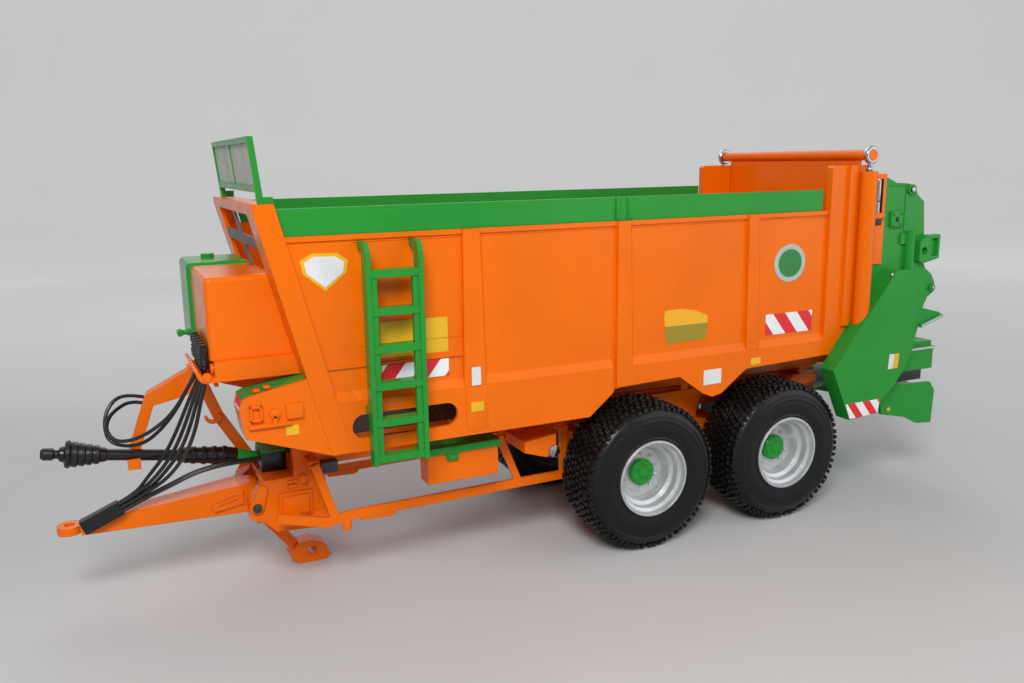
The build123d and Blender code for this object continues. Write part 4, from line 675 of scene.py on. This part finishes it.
def make_coupling_ribs():
    """Rings, nut and plug of each hose coupling."""
    ribs = Piece("coupling_ribs", "black_plastic")
    for i in range(6):
        centre = (COUPLING_X, coupling_y(i))
        for z in (75.3, 76.2, 77.1, 78.0):
            ribs.ring("z", centre, 1.12, 0.2, z, sides=24)
        ribs.rod("z", centre, 1.3, 79.0, 80.6, 8, 0.15)
        ribs.rod("z", centre, 0.85, 80.4, 81.5, 16, 0.2)
    ribs.make()


def make_cheek_trim():
    """Raised frames, boss and bolts cast on the cheeks, and the stripe on their front edge."""
    cheek = Piece("cheek_castings", "orange_paint", mirrored=True)
    face = (-RIB_Y - CHEEK_RISE, -RIB_Y + 0.1)
    for x, z in CHEEK_FRAMES:
        cheek.box(x, face, z, 0.2)
    cheek.rod("y", CHEEK_LENS, 1.35, face[0], face[1], round_off=0.2)
    cheek.rod("y", CHEEK_LENS, 0.6, face[0] - 0.3, face[1], round_off=0.15)
    for x, z in ((-124.4, 68.9), (-121.6, 69.6)):
        cheek.box((x - 0.9, x + 0.9), (-36.3, -34.2), (z, z + 0.75), 0.25)
    cheek.make()
    marker = Piece("cheek_marker", "hazard_guard", slot="orange_paint", mirrored=True)
    edge = [(-129.5, 64.9), (-128.8, 67.2), (-128.66, 67.2), (-129.36, 64.9)]
    marker.prism(edge, "y", -35.6, -29.6)
    marker.make()


def make_headstock_trim():
    """Plate, bolts and bosses cast on the headstock, and the link and pin of the drawbar."""
    face = -HEADSTOCK_Y
    head = Piece("headstock_castings", "orange_paint", mirrored=True)
    head.prism(oblong((-116.0, -108.0), (24.6, 30.4)), "y", -16.6, -PLATE_FACE_Y, 0.14)
    head.rod("y", (-109.4, 35.2), 1.0, -17.0, -16.3, round_off=0.2)
    for x in (-113.4, -111.9):
        head.rod("y", (x, 34.7), 0.6, -15.8, face)
    head.box((-114.0, -111.3), (-PLATE_FACE_Y, face), (32.8, 33.7), 0.2)
    head.rod("y", (-108.6, 33.0), 0.4, -15.3, face, round_off=0.1)
    head.rod("y", (-105.3, 24.9), 0.75, -15.35, face, sides=6)
    head.make()
    link = Piece("headstock_links", "orange_paint", mirrored=True)
    capsule = arc(DRAWBAR_PIN, (2.1, 2.1), range(165, 346, 15))
    capsule += arc(LINK_TOP, (1.3, 1.3), range(-15, 166, 15))
    link.prism(capsule, "y", -16.0, -14.9, 0.35)
    link.make()
    pin = Piece("headstock_pin_ends", "chain_steel", mirrored=True)
    pin.rod("y", DRAWBAR_PIN, 1.4, -16.7, -15.9, round_off=0.25)
    pin.rod("y", DRAWBAR_PIN, 0.6, -16.95, -16.6, round_off=0.15)
    pin.make()


def make_frame_trim():
    """Dark box painted as shade on the bearing block, the block on the frame, and the knobs of the
    guard rails.
    """
    # A dark box paints the shade on the lower part of the bearing block.
    bearing_shade = Piece("bearing_shade_box", "black_plastic")
    bearing_shade.box((-120.15, -112.5), (-7.1, 3.7), (35.95, 42.2), 0.4)
    bearing_shade.make()
    block = Piece("chassis_block", "grey_block", slot="black_plastic", mirrored=True)
    block.box((-104.4, -98.9), (-18.0, -14.9), (36.4, 40.0), 0.5)
    block.make()
    knob = Piece("rail_knobs", "orange_paint", mirrored=True)
    knob.rod("z", (-98.2, -21.6), 1.25, 22.2, 18.8, round_off=0.5, taper=1.25)
    lug = [(-93.6, 20.9), (-84.0, 20.5), (-82.6, 21.2), (-82.2, 22.7), (-93.0, 22.9)]
    knob.prism(lug, "y", -22.1, -20.9, 0.14)
    knob.make()


# ---------------------------------------------------------------- body trim
BRACKET_DISC = (-30.4, 35.8)    # x and z
BOX_Y, CATCH_Y = 29.95, 30.85   # outer faces of the side box and of its lid's catch
BEAD_SUNK = 0.02
FLOOR_GAP_X = (88.0, 90.5)      # between the floor's end and the gate


def make_floor_trim():
    """Dark sheet under the floor's slope, painted shade behind the long slot, and the floor's rear
    edge.
    """
    # The dark sheet paints the shade in the cavity behind the slot.
    slot_shade = Piece("slot_painted_shade", "black_plastic", mirrored=True)
    sheet = [(-35.1, 61.2), (-34.9, 61.0), (-20.2, 48.7), (-20.4, 48.6), (-35.2, 60.8)]
    slot_shade.prism(sheet, "x", -103.0, -58.0)
    slot_shade.make()
    edge = Piece("floor_edge", "orange_paint")
    trough = [(-35.1, 61.4), (-20.0, 49.2), (20.0, 49.2), (35.1, 61.4), (35.1, 63.1),
              (20.0, 50.3), (-20.0, 50.3), (-35.1, 63.1)]
    edge.prism(trough, "x", *FLOOR_GAP_X)
    edge.make()


def make_side_trim():
    """Discs of the brackets, box fittings, and the beads, ribs and joints of the side walls."""
    disc = Piece("bracket_discs", "chrome", mirrored=True)
    disc.rod("y", BRACKET_DISC, 2.0, -30.5, -29.7, round_off=0.2)
    disc.rod("y", BRACKET_DISC, 1.0, -30.9, -30.4, 6, 0.15)
    disc.make()
    box = Piece("side_box_fittings", "orange_paint")
    for x in (-72.6, -52.2):
        for z in (33.0, 37.2):
            box.rod("y", (x, z), 0.32, -BOX_Y - 0.35, -BOX_Y, round_off=0.1)
    box.make()
    catch = Piece("side_box_catch", "green_paint")
    catch.box((-67.6, -64.8), (-CATCH_Y - 0.45, -CATCH_Y), (39.0, 40.6), 0.2)
    catch.rod("y", (-66.2, 42.2), 0.5, -CATCH_Y - 0.25, -CATCH_Y + 0.1, round_off=0.1)
    for x in (-73.8, -51.6):
        catch.box((x - 0.9, x + 0.9), (-23.4, -22.0), (43.0, 43.6), 0.2)
    catch.make()
    bead = Piece("wall_beads", "orange_paint", mirrored=True)
    for x in ((-96.4, -64.6), (-58.0, -12.0), (-6.2, 39.8), (45.0, 76.0)):
        bead.box(x, (-PANEL_Y - 0.16, -PANEL_Y + BEAD_SUNK), (107.9, 108.3), 0.06)
    bead.box((-96.4, -64.6), (-PANEL_Y - 0.12, -PANEL_Y + BEAD_SUNK), (78.7, 78.9), 0.04)
    bead.make()
    rib = Piece("skirt_ribs", "orange_paint", mirrored=True)
    plate = [(-64.3, 63.3), (-57.3, 63.3), (-57.3, 50.6), (-58.6, 49.4), (-63.0, 49.6),
             (-64.3, 51.0)]
    rib.prism(plate, "y", -RIB_PLATE_Y, -RIB_Y + 0.1, 0.1)
    rib.make()
    joint = Piece("board_joints", "green_paint", mirrored=True)
    for x in (-11.2, -6.6):
        joint.box((x - 0.6, x + 0.6), (-37.2, -36.4), (110.5, 117.3), 0.3)
    joint.make()


# ---------------------------------------------------------------- rear trim
FLANGE_X, FLANGE_Z = (105.2, 111.2), (103.0, 109.0)     # over the upper beater's bearing
FLANGE_RISE, FLANGE_EDGE = 1.1, 1.0     # the edge is from its corners to its bolts
WINDOW_Z = (108.8, 120.6)       # of the window in the channel of the door's cylinder
CYLINDER = (98.4, -38.0)        # x and y of its gland on the left side
GATE_ROD = (91.0, -40.6)        # x and y
SKIRT_Y = 37.8                  # outer face of the disc deck's skirts


def make_unit_trim():
    """Flanges, bolts, pins, studs and pale edges of the spreading unit, and a dark strip painted as
    the shade in the gap above the disc deck.
    """
    face = -UNIT_Y
    bolts = Piece("unit_bolts", "green_paint", mirrored=True)
    bolts.box(FLANGE_X, (face - FLANGE_RISE, face), FLANGE_Z, 0.4)
    for z in (FLANGE_Z[0] + FLANGE_EDGE, FLANGE_Z[1] - FLANGE_EDGE):
        for x in (FLANGE_X[0] + FLANGE_EDGE, FLANGE_X[1] - FLANGE_EDGE):
            bolts.rod("y", (x, z), 0.5, face - 1.5, face - 1.0, 6, 0.1)
    bolts.box((112.6, 113.2), (face - 0.25, face), (101.6, 117.8), 0.1)
    bolts.box((104.6, 112.9), (face - 0.3, face), (118.0, 118.6), 0.12)
    bolts.make()
    pins = Piece("unit_pins", "chrome", mirrored=True)
    pins.rod("y", (115.3, 116.6), 0.95, face - 1.5, face - 0.85, round_off=0.3)
    pins.rod("y", (129.8, 79.0), 0.72, face - 1.35, face - 0.4, round_off=0.2)
    pins.rod("y", (101.6, 86.4), 0.75, -GUARD_Y, -GUARD_Y + 0.6, round_off=0.25)
    pins.make()
    stud = Piece("guard_studs", "black_plastic", mirrored=True)
    stud.rod("y", (92.6, 77.2), 0.9, -GUARD_Y + 2.0, -GUARD_Y + 3.4, round_off=0.2)
    stud.box((107.4, 109.0), (face - 1.3, face - 1.0), (105.2, 106.8), 0.1)
    stud.make()
    pale = Piece("light_bracket_edges", "pale_film", slot="green_paint", mirrored=True)
    wedge = [(125.2, 64.9), (125.5, 64.2), (136.4, 67.2), (136.2, 67.9)]
    pale.prism(wedge, "y", face - 1.25, face - 0.9)
    pale.box((121.4, 134.2), (face - 0.62, face - 0.3), (54.7, 55.7), 0.06)
    pale.make()
    # A dark strip paints the shade in the gap between the cover and the disc deck's skirt.
    gap_shade = Piece("unit_gap_shade", "black_plastic", mirrored=True)
    gap_shade.box((113.4, 128.6), (-37.7, -36.8), (42.9, 46.9), 0.1)
    gap_shade.make()
    dot = Piece("skirt_dots", "yellow_film", slot="green_paint", mirrored=True)
    dot.rod("y", (112.0, 32.6), 0.8, -SKIRT_Y - 0.25, -SKIRT_Y + 0.05, round_off=0.1)
    dot.make()


def make_guard_films():
    """Hazard stripes at the foot of the rear guards, and the two small films above them."""
    foot = [(82.4, 40.1), (99.4, 40.1), (98.9, 35.4), (98.6, 34.7), (85.1, 34.2), (84.7, 34.6)]
    white = [(102.6, 51.0), (105.2, 51.0), (105.6, 56.6), (103.0, 56.6)]
    yellow = [(105.3, 51.0), (107.6, 51.0), (108.0, 56.6), (105.7, 56.6)]
    # columns: name, finish, outline, how far the film stands out
    for name, finish, loop, rise in (("hazard_film_guard", "hazard_guard", foot, 0.06),
                                     ("guard_film_white", "white_film", white, 0.05),
                                     ("guard_film_yellow", "yellow_film", yellow, 0.05)):
        piece = Piece(name, finish, slot="green_paint", mirrored=True)
        piece.prism(loop, "y", -GUARD_Y + 0.05, -GUARD_Y - rise)
        piece.make()


def make_cylinder_trim():
    """Foot, gland and collars of the door's cylinder and the gate's rod, with dark sheets that
    paint the shade in the channel's window and under the foot.
    """
    foot = Piece("cylinder_fittings", "orange_paint", mirrored=True)
    foot.box((95.5, 100.6), (-40.0, -38.9), (106.6, 108.3), 0.3)
    foot.make()
    gland_and_shade = Piece("cylinder_glands_and_shade", "black_plastic", mirrored=True)
    gland_and_shade.rod("z", CYLINDER, 1.15, WINDOW_Z[0], WINDOW_Z[0] + 4.0, round_off=0.2)
    # Thin dark sheets paint the shade inside the channel's window and under the cylinder's foot.
    gland_and_shade.box((99.95, 100.18), (-38.9, -36.62), WINDOW_Z, 0.05)
    gland_and_shade.box((96.7, 100.1), (-36.9, -36.64), WINDOW_Z, 0.05)
    gland_and_shade.box((96.2, 100.2), (-39.15, -38.98), (104.2, 106.4), 0.1)
    gland_and_shade.make()
    collars = Piece("rod_collars", "chrome", mirrored=True)
    collars.rod("z", (98.5, -38.1), 1.05, 112.9, 120.7, round_off=0.2)
    collars.rod("z", GATE_ROD, 1.3, 123.6, 124.9, round_off=0.3)
    collars.make()


make_wheels()
make_films()
make_coupling_ribs()
make_cheek_trim()
make_headstock_trim()
make_frame_trim()
make_floor_trim()
make_side_trim()
make_unit_trim()
make_guard_films()
make_cylinder_trim()


def dress_nodes():
    """Give every CAD node the finish of its slot."""
    for part in RECORD["subparts"]:
        node = NODES[part["node"]]
        node.data.materials.clear()
        node.data.materials.append(MATERIALS[part["material_slot"]])


# ---------------------------------------------------------------- stage
# The paper's sizes are in metres from the frame's origin.
PAPER_HALF_W = 1.6
PAPER_NEAR, PAPER_FAR, PAPER_TOP = -1.6, 1.3, 1.4
PAPER_BEND, BEND_STEPS = 0.35, 12
GLOW_FROM, GLOW_TO, GLOW = 0.22, 0.9, 0.7     # the far paper's own light, seen but not cast
SKY_LIGHT, SKY_SEEN = 0.26, 0.46              # the sky's light, and what is added for the eye
# columns: name, place and aim in mm from the front axle, size in m, watts
LAMPS = (("key", (-260, -420, 420), (20, 0, 60), 0.2, 2.5),
         ("fill", (420, -420, 300), (30, 0, 60), 0.6, 1.15),
         ("back", (60, 420, 480), (0, 0, 60), 0.6, 1.6))


def floor_paper():
    """Matt pale paper that glows a little far from the object, for the eye alone."""
    s = Shader("floor_paper")
    tone = s.ramp(s.noise(9.0, 4.0), [(0.3, (0.58, 0.58, 0.58)), (0.7, (0.62, 0.62, 0.62))])
    s.set(Roughness=0.75, Specular_IOR_Level=0.2, Emission_Color=(0.60, 0.60, 0.60, 1.0))
    away = s.node("ShaderNodeVectorMath")
    away.operation = "LENGTH"
    s.link(s.coords, away.inputs[0])
    far = s.spread(away.outputs["Value"], GLOW_FROM, GLOW_TO, 0.0, GLOW)
    glow = math_node(s.tree, "MULTIPLY", far, seen_by_eye(s.tree))
    return s.feed(Base_Color=tone, Emission_Strength=glow)


def make_floor():
    """Sheet of paper that lies under the object and bends up behind it."""
    data = bpy.data.meshes.new("floor")
    made = bmesh.new()
    turns = [i / BEND_STEPS * math.pi / 2 for i in range(BEND_STEPS + 1)]
    bend = [(PAPER_FAR + PAPER_BEND * math.sin(a), PAPER_BEND * (1 - math.cos(a))) for a in turns]
    last = None
    for y, z in [(PAPER_NEAR, 0.0)] + bend + [(PAPER_FAR + PAPER_BEND, PAPER_TOP)]:
        row = [made.verts.new((-PAPER_HALF_W, y, z)), made.verts.new((PAPER_HALF_W, y, z))]
        if last:
            made.faces.new((last[0], last[1], row[1], row[0])).smooth = True
        last = row
    made.to_mesh(data)
    made.free()
    data.materials.append(floor_paper())
    floor = place(bpy.data.objects.new("floor", data))
    floor.rotation_euler.z = math.radians(-VIEW_YAW)


def make_sky():
    """Plain world, paler to the eye than as a light."""
    world = bpy.data.worlds.new("world")
    world.use_nodes = True
    tree = world.node_tree
    sky = tree.nodes["Background"]
    sky.inputs["Color"].default_value = (0.75, 0.77, 0.80, 1.0)
    level = math_node(tree, "MULTIPLY_ADD", seen_by_eye(tree), SKY_SEEN, SKY_LIGHT)
    tree.links.new(level, sky.inputs["Strength"])
    bpy.context.scene.world = world


def make_lamps():
    """Soft key light beside the camera, a weak fill and a light from behind."""
    for name, spot, aim, size, power in LAMPS:
        light = bpy.data.lights.new(name, "AREA")
        light.size = size
        light.energy = power
        lamp = place(bpy.data.objects.new(name, light))
        lamp.location = at(*spot)
        lamp.rotation_euler = (at(*aim) - lamp.location).to_track_quat("-Z", "Y").to_euler()


dress_nodes()
make_floor()
make_sky()
make_lamps()
bpy.context.scene.view_settings.view_transform = "Standard"
